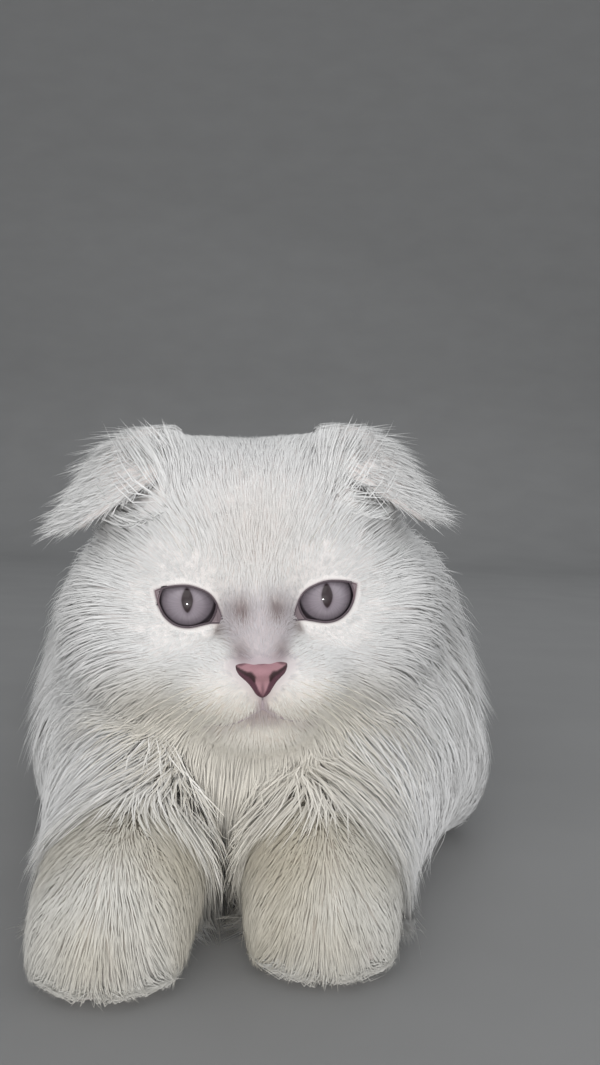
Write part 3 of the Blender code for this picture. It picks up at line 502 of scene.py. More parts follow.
class Lie:
    """Blends the coats of the regions that are near each point."""

    def __init__(self, forms):
        self.forms = forms

    def shares(self, points):
        """How much each region counts at each point."""
        gaps = np.stack([form.distance(points) for form in self.forms.values()], axis=1)
        shares = np.exp(-np.maximum(gaps, 0.0) / REGION_BLEND)
        return shares / np.maximum(shares.sum(1), 1e-12)[:, None]

    def way(self, points, shares):
        """The way the hair points, blended from the regions near each point."""
        total = np.zeros((len(points), 3))
        for at, name in enumerate(self.forms):
            chosen = shares[:, at] > 0.01
            ways = unit(COATS[kind_of(name)].way(points[chosen]))
            total[chosen] += shares[chosen, at, None] * ways
        return total

    def numbers(self, points, shares):
        """Length, rise, width, spacing, curl and clumping at each point."""
        names = list(self.forms)
        table = np.array([COATS[kind_of(name)].numbers for name in names])
        length, rise, width, spacing, curl, clump = (shares @ table).T
        on_head, on_neck = shares[:, names.index("head")], shares[:, names.index("neck")]
        on_foreleg = shares[:, [kind_of(name) == "foreleg" for name in names]].sum(1)
        head_share = 1.0 - on_head * (1.0 - face_share(points))
        below_ear, at_ear = (on_head * share for share in round_ears(points))
        wrist = on_foreleg * ramp(-points[:, 1], *WRISTS)
        upper_arm = on_foreleg * ramp(points[:, 1], *UPPER_ARMS)
        bib_share = 1.0 + 0.30 * on_neck * ramp(-points[:, 2], -BIB_TOP[1], -BIB_TOP[0])
        crown = on_head * ramp(points[:, 2], *CROWN)
        length = length * head_share * bib_share * (1.0 - 0.70 * wrist) * (1.0 - 0.50 * at_ear)
        length = (length + UNDER_EAR_LENGTH * below_ear) * (1.0 - 0.30 * crown)
        rise = rise * head_share**0.8 * (1.0 - 0.60 * wrist) * (1.0 - 0.65 * upper_arm)
        rise = rise * (1.0 - 0.92 * at_ear) * (1.0 - 0.65 * crown) + UNDER_EAR_RISE * below_ear
        return length, rise, width * (0.5 + 0.5 * head_share), spacing, curl, clump


def round_ears(points):
    """How far points of the head lie below the folded ears, and how far at the ears' raised roots."""
    local = in_head(points)
    local[:, 0] = np.abs(local[:, 0])
    edge = bent_row(EAR_ROWS[-1], 12) - np.array((0.0, 0.0, UNDER_EAR_DROP))
    gap = np.linalg.norm(local[:, None] - edge[None], axis=2).min(1)
    below = np.exp(-((gap / UNDER_EAR_REACH) ** 2))
    at_root = np.exp(-(((local - np.array(EAR_ROOT_MIDDLE)) / EAR_ROOT_REACH) ** 2).sum(1))
    return below, at_root


def kind_of(name):
    """The kind of coat of a region: its name without the side."""
    return name.replace("_left", "").replace("_right", "")


def face_share(points):
    """How much of its full length the hair has on the head, where it is shortest by nose and eyes."""
    local = in_head(points)
    reach = np.linalg.norm(local - NOSE_TIP, axis=1)
    share = 0.07 + 0.17 * ramp(reach, 0.010, 0.050) + 0.26 * ramp(reach, 0.055, 0.085)
    cheek = ramp(reach, 0.038, 0.064) * ramp(-local[:, 2], -0.020, 0.015)
    share = share + 0.72 * cheek
    for side in (LEFT, RIGHT):
        gap = np.linalg.norm(local - np.array(eye_centre(side)), axis=1)
        share = share * (0.35 + 0.65 * ramp(gap, 0.0145, 0.028))
    return share


def mesh_object(name, mesh, made_of):
    """An object in the scene for a mesh, with its material."""
    obj = bpy.data.objects.new(name, mesh)
    bpy.context.scene.collection.objects.link(obj)
    mesh.materials.clear()
    mesh.materials.append(made_of)
    return obj


def apply_modifiers(obj):
    """Keeps the object's shape as its modifiers leave it."""
    bpy.context.view_layer.update()
    graph = bpy.context.evaluated_depsgraph_get()
    made = bpy.data.meshes.new_from_object(obj.evaluated_get(graph))
    obj.modifiers.clear()
    obj.data = made


def shade_smooth(mesh):
    """Shades all faces smooth."""
    mesh.polygons.foreach_set("use_smooth", np.ones(len(mesh.polygons), bool))


def object_from(bm, name, made_of):
    """An object in the scene for a mesh that has just been built."""
    mesh = bpy.data.meshes.new(name)
    bm.to_mesh(mesh)
    bm.free()
    return mesh_object(name, mesh, made_of)


def smooth_mesh(name, points, faces):
    """A smooth mesh from its points and its faces."""
    mesh = bpy.data.meshes.new(name)
    mesh.from_pydata(points, [], faces)
    shade_smooth(mesh)
    return mesh


def keep_unwrap(mesh, places):
    """Keeps the places of the face corners on the map for the baking of the colours."""
    layer = mesh.uv_layers.new(name="OFBake")
    layer.data.foreach_set("uv", places.astype(np.float32).ravel())


def vertex_array(mesh):
    """The places of a mesh's vertices."""
    flat = np.empty(len(mesh.vertices) * 3, np.float32)
    mesh.vertices.foreach_get("co", flat)
    return flat.reshape(-1, 3).astype(float)


def set_vertices(mesh, points):
    """Moves a mesh's vertices to new places."""
    mesh.vertices.foreach_set("co", points.astype(np.float32).ravel())
    mesh.update()


def settle_on(form, points, rounds):
    """Moves points onto the form's surface, along its slope."""
    for _ in range(rounds):
        here = form.distance(points)
        slope = form.slope(points, here)
        points = points - slope * (here / np.maximum((slope**2).sum(1), 1e-6))[:, None]
    return points


SEED_DETAIL = 3


def remeshed_form(name, form, voxel, made_of):
    """A closed mesh on the form's surface."""
    bm = bmesh.new()
    for matrix in form.seeds():
        bmesh.ops.create_icosphere(bm, subdivisions=SEED_DETAIL, radius=1.0, matrix=matrix)
    obj = object_from(bm, name, made_of)
    remesh = obj.modifiers.new("even", "REMESH")
    remesh.mode = "VOXEL"
    remesh.voxel_size = voxel
    apply_modifiers(obj)
    set_vertices(obj.data, settle_on(form, vertex_array(obj.data), 4))
    return obj


LID_POINTS = 96
# The edge of the lids, outward and up from the middle of the eye, in millimetres. It runs from the
# outer corner over the top to the inner corner, and back along the lower lid.
LID_SHAPE = (
    (10.9, 4.6), (8.5, 5.5), (5.8, 6.1), (3.0, 6.4), (0.3, 6.4), (-1.8, 6.0), (-4.5, 5.0), (-6.6, 3.9),
    (-8.3, 2.4), (-9.7, 0.2), (-10.7, -2.3), (-11.4, -4.6), (-11.9, -6.4), (-10.4, -7.0), (-7.3, -7.0),
    (-4.5, -7.4), (-1.8, -7.9), (0.3, -8.0), (3.0, -7.5), (5.4, -6.3), (7.5, -4.4), (9.0, -2.0), (10.0, 0.7),
    (10.6, 3.0),
)
# The opening in the skin reaches this far from the eye's middle, and lies before this depth
LID_HOLE = 0.0100
BEHIND_LIDS = 0.010


def lid_outline(side, widest=1.0):
    """The edge of the lids in the plane across the eye, kept within a distance of its middle."""
    shape = np.array(LID_SHAPE) / 1000.0
    ring = smooth_curve(np.concatenate([shape, shape[:1]]), LID_POINTS + 1)[:-1]
    reach = np.linalg.norm(ring, axis=1)
    return ring * (np.minimum(reach, widest) / reach)[:, None] * np.array((side, 1.0))


def lid_gap(local, side):
    """How far points of the head lie outside the edge of the lids, and how far from the eye's middle."""
    flat = (local[:, [0, 2]] - np.array(eye_centre(side))[[0, 2]]) * np.array((side, 1.0))
    ring = lid_outline(LEFT)
    turns, found_turns = (np.arctan2(rows[:, 1], rows[:, 0]) for rows in (ring, flat))
    reach = np.interp(found_turns, turns, np.linalg.norm(ring, axis=1), period=2.0 * math.pi)
    from_middle = np.linalg.norm(flat, axis=1)
    behind = local[:, 1] > BEHIND_LIDS
    return np.where(behind, 1.0, from_middle - reach), from_middle


def inside_lids(local, side, wider=0.0, widest=1.0):
    """Whether points of the head lie in front of the opening, or within a width round it."""
    gap, from_middle = lid_gap(local, side)
    return (gap < wider) & (from_middle < widest)


# The split of the lip and the line of the mouth, outward and up in the head's frame
MOUTH_LINE = (
    (0.0, -0.0282), (0.0, -0.0303), (0.0, -0.0325), (0.0035, -0.0350), (0.0082, -0.0376),
    (0.0130, -0.0392), (0.0165, -0.0390),
)
MOUTH_POINTS = 26

# Points slide onto the face from this place before it, by a share of the way that is left each time
BEFORE_FACE = -0.034
FORWARD_SHARE = 0.7
FORWARD_ROUNDS = 60


def settle_forward(form, points):
    """Slides points along Y onto the front of the form."""
    points = points.copy()
    for _ in range(FORWARD_ROUNDS):
        points[:, 1] += FORWARD_SHARE * form.distance(points)
    return points


def smooth_curve(points, count):
    """Points evenly along a smooth curve through the given ones."""
    points = np.asarray(points, float)
    padded = np.concatenate([2 * points[:1] - points[1:2], points, 2 * points[-1:] - points[-2:-1]])
    found = []
    for place in np.linspace(0.0, len(points) - 1.0, count):
        at = min(int(place), len(points) - 2)
        t = place - at
        a, b, c, d = padded[at:at + 4]
        square, cube = 2 * a - 5 * b + 4 * c - d, 3 * b - a - 3 * c + d
        found.append(0.5 * (2 * b + (c - a) * t + square * t**2 + cube * t**3))
    return np.array(found)


def mouth_rows():
    """The split of the lip and the line of the mouth on both sides, in the head's frame."""
    form = bare_face_form()
    rows = []
    for side in (LEFT, RIGHT):
        row = smooth_curve([(side * x, BEFORE_FACE, z) for x, z in MOUTH_LINE], MOUTH_POINTS)
        rows.append(settle_forward(form, row))
    return rows


# Each material: its roughness, the scale of its grain, how deep the grain is and how far it darkens
MATERIALS = {
    "skin": (0.70, 900.0, 0.0004, 0.08),
    "coat_hair": (0.62, 300.0, 0.00002, 0.06),
    "nose_skin": (0.42, 1500.0, 0.0002, 0.22),
    "lid_skin": (0.30, 1200.0, 0.0001, 0.15),
    "lip_skin": (0.45, 1200.0, 0.0001, 0.15),
    "ear_skin": (0.60, 600.0, 0.0002, 0.10),
    "eye_surface": (0.35, 700.0, 0.00002, 0.10),
}
GRAIN_DETAIL = 4.0
GRAIN_STRENGTH = 0.6
ROUGHNESS_SPREAD = 0.08


def shader_parts(name, roughness):
    """A new material with its nodes, its links and its shader."""
    made = bpy.data.materials.new(name)
    made.use_nodes = True
    nodes, links = made.node_tree.nodes, made.node_tree.links
    shader = nodes["Principled BSDF"]
    shader.inputs["Roughness"].default_value = roughness
    return made, nodes, links, shader


def ranged(nodes, links, noise, low, high):
    """The noise as a value between two bounds."""
    node = nodes.new("ShaderNodeMapRange")
    node.inputs["To Min"].default_value = low
    node.inputs["To Max"].default_value = high
    links.new(noise.outputs["Fac"], node.inputs["Value"])
    return node.outputs["Result"]


def tinted_material(name):
    """A material whose colour is the tint painted on the mesh, broken up by a fine grain."""
    roughness, grain, depth, spread = MATERIALS[name]
    made, nodes, links, shader = shader_parts(name, roughness)
    tint = nodes.new("ShaderNodeVertexColor")
    tint.layer_name = "tint"
    noise = nodes.new("ShaderNodeTexNoise")
    noise.inputs["Scale"].default_value = grain
    noise.inputs["Detail"].default_value = GRAIN_DETAIL
    lightness = ranged(nodes, links, noise, 1.0 - spread, 1.0)
    mix = nodes.new("ShaderNodeVectorMath")
    mix.operation = "MULTIPLY"
    links.new(tint.outputs["Color"], mix.inputs[0])
    links.new(lightness, mix.inputs[1])
    links.new(mix.outputs["Vector"], shader.inputs["Base Color"])
    dryness = ranged(nodes, links, noise, roughness - ROUGHNESS_SPREAD, roughness + ROUGHNESS_SPREAD)
    links.new(dryness, shader.inputs["Roughness"])
    bump = nodes.new("ShaderNodeBump")
    bump.inputs["Distance"].default_value = depth
    bump.inputs["Strength"].default_value = GRAIN_STRENGTH
    links.new(noise.outputs["Fac"], bump.inputs["Height"])
    links.new(bump.outputs["Normal"], shader.inputs["Normal"])
    return made


def paint(mesh, colours):
    """Keeps one colour for each vertex as the mesh's tint."""
    layer = mesh.color_attributes.new("tint", "FLOAT_COLOR", "POINT")
    rgba = np.concatenate([colours, np.ones((len(colours), 1))], axis=1)
    layer.data.foreach_set("color", rgba.astype(np.float32).ravel())


# Colours, in linear light
HAIR = np.array((0.96, 0.955, 0.945))
HAIR_LILAC = np.array((0.58, 0.525, 0.56))
HAIR_CREAM = np.array((0.77, 0.72, 0.62))
HAIR_WARM = np.array((0.90, 0.86, 0.82))
HAIR_BROWN = np.array((0.46, 0.40, 0.38))
HAIR_GREY = np.array((0.72, 0.705, 0.66))
SKIN = np.array((0.90, 0.86, 0.84))
LID_EDGE = np.array((0.21, 0.155, 0.175))
LID_SKIN = np.array((0.105, 0.078, 0.092))
EYE_CORNER = np.array((0.38, 0.24, 0.26))
NOSE_PINK = np.array((0.47, 0.255, 0.285))
NOSE_EDGE = np.array((0.13, 0.055, 0.070))
NOSE_WINE = np.array((0.110, 0.038, 0.058))
# Painted shade in the nostrils
NOSTRIL_SHADE = np.array((0.030, 0.010, 0.012))
# Lip skin, darkened also with painted shade for the split of the mouth
MOUTH_LIP_AND_SHADE = np.array((0.46, 0.38, 0.40))
EAR_PINK = np.array((0.90, 0.83, 0.80))
IRIS_INNER = np.array((0.285, 0.245, 0.275))
IRIS_MIDDLE = np.array((0.305, 0.265, 0.300))
IRIS_OUTER = np.array((0.300, 0.255, 0.292))
LIMBUS = np.array((0.085, 0.068, 0.082))
PUPIL = np.array((0.022, 0.009, 0.012))
SCLERA = np.array((0.24, 0.19, 0.21))


def mixed(first, second, share):
    """The first colour turned to the second by a share at each point."""
    return first + (second - first) * np.asarray(share)[:, None]


def stroke(points, line, radii):
    """How far flat points lie in a soft stroke along a line: 1 in its middle and 0 beside it."""
    depth = np.zeros(len(points))
    line = np.asarray(line, float)
    for at in range(len(line) - 1):
        start, leg = line[at], line[at + 1] - line[at]
        along = np.clip((points - start) @ leg / (leg @ leg), 0.0, 1.0)
        gap = np.linalg.norm(points - start - along[:, None] * leg, axis=1)
        reach = radii[at] + along * (radii[at + 1] - radii[at])
        depth = np.maximum(depth, 1.0 - ramp(gap / reach, 0.35, 1.0))
    return depth


def markings_and_shade(points, ground):
    """The coat's faint marks, greyer forepaws and painted shade by the nose, the lip, the forepaws' fronts
    and the wrists, on a ground colour; shared by skin and hair.
    """
    local = in_head(points)
    x, z = np.abs(local[:, 0]), local[:, 2]
    ground = np.tile(ground, (len(points), 1))
    front = ramp(-local[:, 1], -0.020, 0.000)
    half = 0.0085 + 0.0050 * ramp(z, -0.018, -0.004)
    bridge = (1.0 - ramp(x / half, 0.70, 1.25)) * band(z, -0.022, -0.014, -0.004, 0.008)
    by_nose = 1.0 - ramp(nose_form().distance(local), 0.0004, 0.0034)
    # Painted shade: a soft lilac triangle in the groove under the nose, and a band along the split of the
    # lip
    half = 0.0008 + 0.0048 * ramp(-z, 0.0285, 0.0375)
    philtrum_shade = (1.0 - ramp(x / half, 0.55, 1.35)) * band(z, -0.0400, -0.0355, -0.0290, -0.0265)
    smudge = spot(x, z, (0.0060, -0.0025), (0.0030, 0.0034))
    smudge += 0.7 * spot(x, z, (0.0062, -0.0145), (0.0026, 0.0030))
    corner = spot(x, z, (0.0128, -0.0090), (0.0022, 0.0030))
    split = stroke(np.stack([x, z], axis=1), MOUTH_LINE, np.full(len(MOUTH_LINE), 0.0024))
    # The real lilac tone of the bridge and round the nose, together with that painted shade
    lilac_and_shade = np.clip(0.75 * bridge + 0.55 * by_nose + 0.9 * philtrum_shade + 0.35 * split, 0.0, 1.0) * front
    coloured = mixed(ground, ground * HAIR_LILAC / HAIR, lilac_and_shade)
    coloured = mixed(coloured, coloured * HAIR_BROWN / HAIR, np.clip(smudge + corner, 0.0, 1.0) * front)
    forehead = spot(x, z, (0.0, 0.020), (0.016, 0.018)) * front
    coloured = mixed(coloured, coloured * HAIR_WARM / HAIR, 0.8 * forehead)
    height = points[:, 2]
    bib = 1.0 - ramp(np.abs(points[:, 0]) / (0.012 + 0.55 * height), 0.55, 1.15)
    bib *= ramp(-height, -0.092, -0.072) * ramp(-points[:, 1], -0.045, -0.010)
    coloured = mixed(coloured, coloured * HAIR_CREAM / HAIR, 0.75 * bib)
    paws = ramp(-points[:, 1], -0.004, 0.020) * ramp(-height, -0.055, -0.042)
    coloured = mixed(coloured, coloured * HAIR_GREY / HAIR, paws)
    # Painted shadow, in cream, over the tops of the wrists and paws under the ends of the hanging ruff, and
    # painted shade in the middle of each forepaw's front
    wrist_shadow = band(points[:, 1], -0.058, -0.040, -0.024, -0.008) * band(height, 0.024, 0.036, 0.050, 0.060)
    return mixed(coloured, coloured * HAIR_CREAM / HAIR, 0.6 * paw_front_shade(points) + 0.5 * wrist_shadow)


# Where the painted shade in the middle of each forepaw's front lies: how far ahead of and above the paw's
# middle, and its reach
PAW_SHADE_AHEAD = 0.030
PAW_SHADE_ABOVE = 0.002
PAW_SHADE_REACH = (0.012, 0.014, 0.010)


def paw_front_shade(points):
    """How far points lie in the painted shade in the middle of the forepaws' fronts."""
    found = np.zeros(len(points))
    for x, y, z in PAW.values():
        off = (points - np.array((x, y - PAW_SHADE_AHEAD, z + PAW_SHADE_ABOVE))) / np.array(PAW_SHADE_REACH)
        found += np.exp(-(off**2).sum(1))
    return found


def refine(obj, chosen):
    """Splits the faces round the chosen vertices."""
    bm = bmesh.new()
    bm.from_mesh(obj.data)
    bm.verts.ensure_lookup_table()
    edges = [edge for edge in bm.edges if chosen[edge.verts[0].index] and chosen[edge.verts[1].index]]
    bmesh.ops.subdivide_edges(bm, edges=edges, cuts=1, use_grid_fill=True)
    bmesh.ops.triangulate(bm, faces=[face for face in bm.faces if len(face.verts) > 4])
    bm.to_mesh(obj.data)
    bm.free()


LID_EDGE_WIDTH = 0.0011
# The outer corner of the left eye in the head's frame, and how far its tint reaches
OUTER_CORNER = (0.0352, 0.006, 0.0036)
CORNER_REACH = (0.0030, 0.009, 0.0030)


def skin_colours(points):
    """Pale skin with the coat's marks and painted shade, and bare dusky skin round the eyes and in their
    corners.
    """
    colours = markings_and_shade(points, SKIN)
    local = in_head(points)
    for side in (LEFT, RIGHT):
        gap, _ = lid_gap(local, side)
        colours = mixed(colours, LID_EDGE, 0.9 * (1.0 - ramp(gap, 0.0, LID_EDGE_WIDTH)))
        corner = local - np.array((side, 1.0, 1.0)) * OUTER_CORNER
        near = np.exp(-((corner / np.array(CORNER_REACH)) ** 2).sum(1))
        colours = mixed(colours, EYE_CORNER, 0.8 * near)
    return colours


SKIN_VOXEL = 0.0033
QUICK_SKIN_VOXEL = 0.0040
# The faces are halved within each of these distances from the middle of the face
FINER_MIDDLE = (0.0, -0.014, -0.012)
FINER_REACHES = (0.050, 0.042, 0.036)


def make_skin(flesh, quick):
    """One skin over the whole body, with finer faces on the front of the head."""
    skin = remeshed_form("skin", flesh, QUICK_SKIN_VOXEL if quick else SKIN_VOXEL, tinted_material("skin"))
    for reach in FINER_REACHES:
        local = in_head(vertex_array(skin.data))
        refine(skin, np.linalg.norm(local - np.array(FINER_MIDDLE), axis=1) < reach)
    points = settle_on(flesh, vertex_array(skin.data), 3)
    points[:, 2] = np.maximum(points[:, 2], 0.0)
    set_vertices(skin.data, points)
    open_lids(skin)
    shade_smooth(skin.data)
    paint(skin.data, skin_colours(vertex_array(skin.data)))
    return skin


def open_lids(skin):
    """Takes away the skin in front of the eyes."""
    local = in_head(vertex_array(skin.data))
    gone = inside_lids(local, LEFT, widest=LID_HOLE) | inside_lids(local, RIGHT, widest=LID_HOLE)
    bm = bmesh.new()
    bm.from_mesh(skin.data)
    bm.verts.ensure_lookup_table()
    bmesh.ops.delete(bm, geom=[bm.verts[at] for at in np.flatnonzero(gone)], context="VERTS")
    bm.to_mesh(skin.data)
    bm.free()


UNWRAP_ANGLE = math.radians(66)
UNWRAP_MARGIN = 0.002


def unwrap(obj):
    """Unfolds the skin's own shape into a UV map for the baking of its colours."""
    obj.data.uv_layers.new(name="OFBake")
    for other in bpy.context.selected_objects:
        other.select_set(False)
    bpy.context.view_layer.objects.active = obj
    obj.select_set(True)
    bpy.ops.object.mode_set(mode="EDIT")
    bpy.ops.mesh.select_all(action="SELECT")
    bpy.ops.uv.smart_project(angle_limit=UNWRAP_ANGLE, island_margin=UNWRAP_MARGIN)
    bpy.ops.object.mode_set(mode="OBJECT")
    obj.select_set(False)


class Surface:
    """The skin's triangles with their places on the unwrap, from which roots are drawn."""

    def __init__(self, obj):
        mesh = obj.data
        mesh.calc_loop_triangles()
        count = len(mesh.loop_triangles)
        corners = np.empty(count * 3, np.int32)
        loops = np.empty(count * 3, np.int32)
        mesh.loop_triangles.foreach_get("vertices", corners)
        mesh.loop_triangles.foreach_get("loops", loops)
        flat = np.empty(len(mesh.loops) * 2, np.float32)
        mesh.uv_layers["OFBake"].data.foreach_get("uv", flat)
        self.corners = vertex_array(mesh)[corners.reshape(-1, 3)]
        self.unwrapped = flat.reshape(-1, 2)[loops.reshape(-1, 3)]
        sides = self.corners[:, 1] - self.corners[:, 0], self.corners[:, 2] - self.corners[:, 0]
        self.areas = np.linalg.norm(np.cross(*sides), axis=1) / 2.0
        self.middles = self.corners.mean(axis=1)

    def draw_points(self, weights, count, draw):
        """Points on the skin, as dense as the weights ask, and their places on the unwrap."""
        chances = self.areas * weights
        picks = draw.choice(len(chances), count, p=chances / chances.sum())
        u, v = draw.random((2, count))
        over = u + v > 1.0
        u[over], v[over] = 1.0 - u[over], 1.0 - v[over]
        shares = np.stack([1.0 - u - v, u, v], axis=1)[:, :, None]
        return (self.corners[picks] * shares).sum(1), (self.unwrapped[picks] * shares).sum(1)


# Roots start this far inside the skin, and no hair but its edge comes lower than this over the floor
ROOT_DEPTH = 0.0012
LOWEST = 0.0005
EDGE_LOWEST = 0.0002
# Hair that points down turns level between these heights
LEVEL_HEIGHTS = (0.001, 0.014)
# How fast a hair rises from its root
RISE_POWER = 0.7


def march(roots, lie, field, lengths, rises, curls, steps):
    """The middle lines of hairs that leave the skin, rise and follow the coat's way along it."""
    _, slope = field.read(roots)
    lines = [roots - unit(slope) * ROOT_DEPTH]
    point = roots
    for step in range(1, steps + 1):
        share = step / steps
        _, slope = field.read(point)
        normal = unit(slope)
        way = unit(lie.way(point, lie.shares(point)))
        way = way + (curls * (share - 0.3))[:, None] * np.cross(normal, way)
        way[:, 2] *= np.where(way[:, 2] < 0.0, ramp(point[:, 2], *LEVEL_HEIGHTS), 1.0)
        way = unit(way - normal * (way * normal).sum(1)[:, None])
        point = point + way * (lengths / steps)[:, None]
        for _ in range(2):
            gap, slope = field.read(point)
            error = gap - rises * share**RISE_POWER
            point = point - slope * (error / np.maximum((slope**2).sum(1), 0.3))[:, None]
        point[:, 2] = np.maximum(point[:, 2], LOWEST)
        lines.append(point)
    return np.stack(lines, axis=1)


# The size of a hair's patch on the unwrap
PATCH = 0.0030
# A hair's thickness as a share of its width, its width from root to tip, and how far its underside
# and its ridge lie from its middle line, in thicknesses
HAIR_THICKNESS = 0.45
TAPER = (0.85, 0.50)
UNDERSIDE = 0.7
RIDGE = 1.3
# How far a hair is shaded as a part of the whole coat, and not by its own sides
SOFTNESS = 0.85


def hair_faces(rings):
    """The triangles of one closed three-sided hair."""
    faces = []
    for ring in range(rings - 1):
        for side in range(3):
            a, b = ring * 3 + side, ring * 3 + (side + 1) % 3
            faces += [(a, a + 3, b + 3), (a, b + 3, b)]
    last = (rings - 1) * 3
    faces += [(last + side, rings * 3, last + (side + 1) % 3) for side in range(3)]
    faces.append((0, 1, 2))
    return np.array(faces)


def hair_patch(rings):
    """Each vertex of a hair in a small patch of the unwrap: nested triangles round the tip."""
    radius = np.concatenate([np.repeat(np.linspace(1.0, 0.3, rings), 3), [0.0]]) * PATCH / 2.0
    angle = np.concatenate([np.tile(np.arange(3) * 2.0 * math.pi / 3.0, rings), [0.0]])
    return np.stack([radius * np.cos(angle), radius * np.sin(angle)], axis=1)


def hair_mesh(name, lines, normals, widths, unwrapped, tints, made_of):
    """Closed three-sided hairs round their middle lines, with normals that follow the body's form."""
    count, places = lines.shape[:2]
    rings = places - 1
    along = np.gradient(lines, axis=1)
    along /= np.maximum(np.linalg.norm(along, axis=2), 1e-9)[:, :, None]
    out = normals - along * (normals * along).sum(2)[:, :, None]
    out /= np.maximum(np.linalg.norm(out, axis=2), 1e-9)[:, :, None]
    across = np.cross(along, out)
    taper = np.linspace(*TAPER, rings)
    half = 0.5 * widths[:, None] * taper[None]
    thick = half * HAIR_THICKNESS
    middle, ring_out, across = lines[:, :rings], out[:, :rings], across[:, :rings]
    base = middle - ring_out * thick[:, :, None] * UNDERSIDE
    sideways = across * half[:, :, None]
    top = middle + ring_out * thick[:, :, None] * RIDGE
    corners = np.stack([base + sideways, top, base - sideways], axis=2)
    corners[..., 2] = np.maximum(corners[..., 2], EDGE_LOWEST)
    vertices = np.concatenate([corners.reshape(count, rings * 3, 3), lines[:, -1:]], axis=1)
    faces = hair_faces(rings)
    per_hair = rings * 3 + 1
    whole = (faces[None] + (np.arange(count) * per_hair)[:, None, None]).reshape(-1)
    mesh = bpy.data.meshes.new(name)
    mesh.vertices.add(count * per_hair)
    mesh.vertices.foreach_set("co", vertices.astype(np.float32).ravel())
    mesh.loops.add(len(whole))
    mesh.loops.foreach_set("vertex_index", whole.astype(np.int32))
    mesh.polygons.add(len(whole) // 3)
    mesh.polygons.foreach_set("loop_start", np.arange(0, len(whole), 3, dtype=np.int32))
    mesh.polygons.foreach_set("use_smooth", np.ones(len(whole) // 3, bool))
    mesh.update(calc_edges=True)
    slant = sideways * 2.0 / widths[:, None, None]
    lean = np.stack([slant, 0.0 * sideways, -slant], 2)
    hard = 1.0 - SOFTNESS
    soft = normals[:, :rings, None] * SOFTNESS + ring_out[:, :, None] * hard + lean * hard
    soft = np.concatenate([soft.reshape(count, rings * 3, 3), normals[:, -1:]], axis=1).reshape(-1, 3)
    layer = mesh.attributes.new("custom_normal", "FLOAT_VECTOR", "POINT")
    layer.data.foreach_set("vector", unit(soft).astype(np.float32).ravel())
    placed_patch = np.clip(unwrapped[:, None] + hair_patch(rings)[None], 0.0, 1.0).reshape(-1, 2)
    keep_unwrap(mesh, placed_patch[whole])
    paint(mesh, np.repeat(tints, per_hair, axis=0))
    return mesh_object(name, mesh, made_of)


def nearest(points, centres):
    """The number of the nearest centre to each point."""
    tree = KDTree(len(centres))
    for at, centre in enumerate(centres):
        tree.insert(centre, at)
    tree.balance()
    return np.array([tree.find(point)[1] for point in points])


SHORT_HAIRS = 40000
LONG_HAIRS = 53000
# The most triangles of one piece of the coat
MOST_TRIANGLES = 195000
SHORT_STEPS = 2
LONG_STEPS = 3
LONG_FROM = 0.0150
# The coat bridges the creases of the flesh over this width. Below the head, no hair grows deeper in
# a crease than CREASE.
COAT_BLEND = 0.012
CREASE = -0.0030
BELOW_HEAD = 0.080
FLOOR_CLEARANCE = 0.0015
# How much denser the coat is on the face, and the distances from the nose between which this ends
FACE_EXTRA = 1.2
FACE_REACH = (0.030, 0.060)
CLUMP_SIZE = 22
# Loose hairs rise higher, are finer and clump less
LOOSE_SHARE = 0.06
LOOSE_RISE = 1.4
LOOSE_WIDTH = 0.6
LOOSE_CLUMP = 0.2
QUICK_SHARE = 0.3
QUICK_WIDTH = 1.8


def grow_coat(surface, lie, field, made_of, draw, quick):
    """The whole coat but the ears': short hair on the face and feet, long locks elsewhere."""
    pieces = []
    middles = surface.middles
    length, _, _, spacing, _, _ = lie.numbers(middles, lie.shares(middles))
    free = (middles[:, 2] > FLOOR_CLEARANCE) * clear_of_features(middles)
    local = in_head(middles)
    face = ramp(-np.linalg.norm(local - NOSE_TIP, axis=1), -FACE_REACH[1], -FACE_REACH[0])
    weights = spacing**-2.0 * (1.0 + FACE_EXTRA * face) * free
    kinds = (
        ("fur_short", SHORT_HAIRS, SHORT_STEPS, length <= LONG_FROM),
        ("fur_long", LONG_HAIRS, LONG_STEPS, length > LONG_FROM),
    )
    for name, count, steps, here in kinds:
        count = int(count * QUICK_SHARE) if quick else count
        roots, unwrapped = surface.draw_points(weights * here, count, draw)
        depth, _ = field.read(roots)
        keep = clear_of_features(roots) & ((depth > CREASE) | (roots[:, 2] > BELOW_HEAD))
        roots, unwrapped = roots[keep], unwrapped[keep]
        lines, widths = hair_lines(roots, lie, field, steps, draw)
        # The hair takes the same marks and painted shade as the skin
        tints = markings_and_shade(roots, HAIR) * draw.uniform(0.95, 1.02, len(roots))[:, None]
        widths = widths * (QUICK_WIDTH if quick else 1.0)
        order = np.argsort(lines[:, 0, 1])
        per_piece = MOST_TRIANGLES // (6 * steps - 2)
        for start in range(0, len(order), per_piece):
            part = order[start:start + per_piece]
            _, slope = field.read(lines[part].reshape(-1, 3))
            normals = soft_normals(lines[part].reshape(-1, 3), slope).reshape(lines[part].shape)
            label = "%s_%02d" % (name, 1 + start // per_piece)
            chosen = normals, widths[part], unwrapped[part], tints[part]
            pieces.append(hair_mesh(label, lines[part], *chosen, made_of))
    return pieces


# The body's middle line, along Y at one height, the middle of the head, and their part in the shading
BODY_RANGE = (0.06, 0.24)
BODY_HEIGHT = 0.055
HEAD_MIDDLE = (0.0, 0.040, 0.0)
BODY_SHADE = 0.75


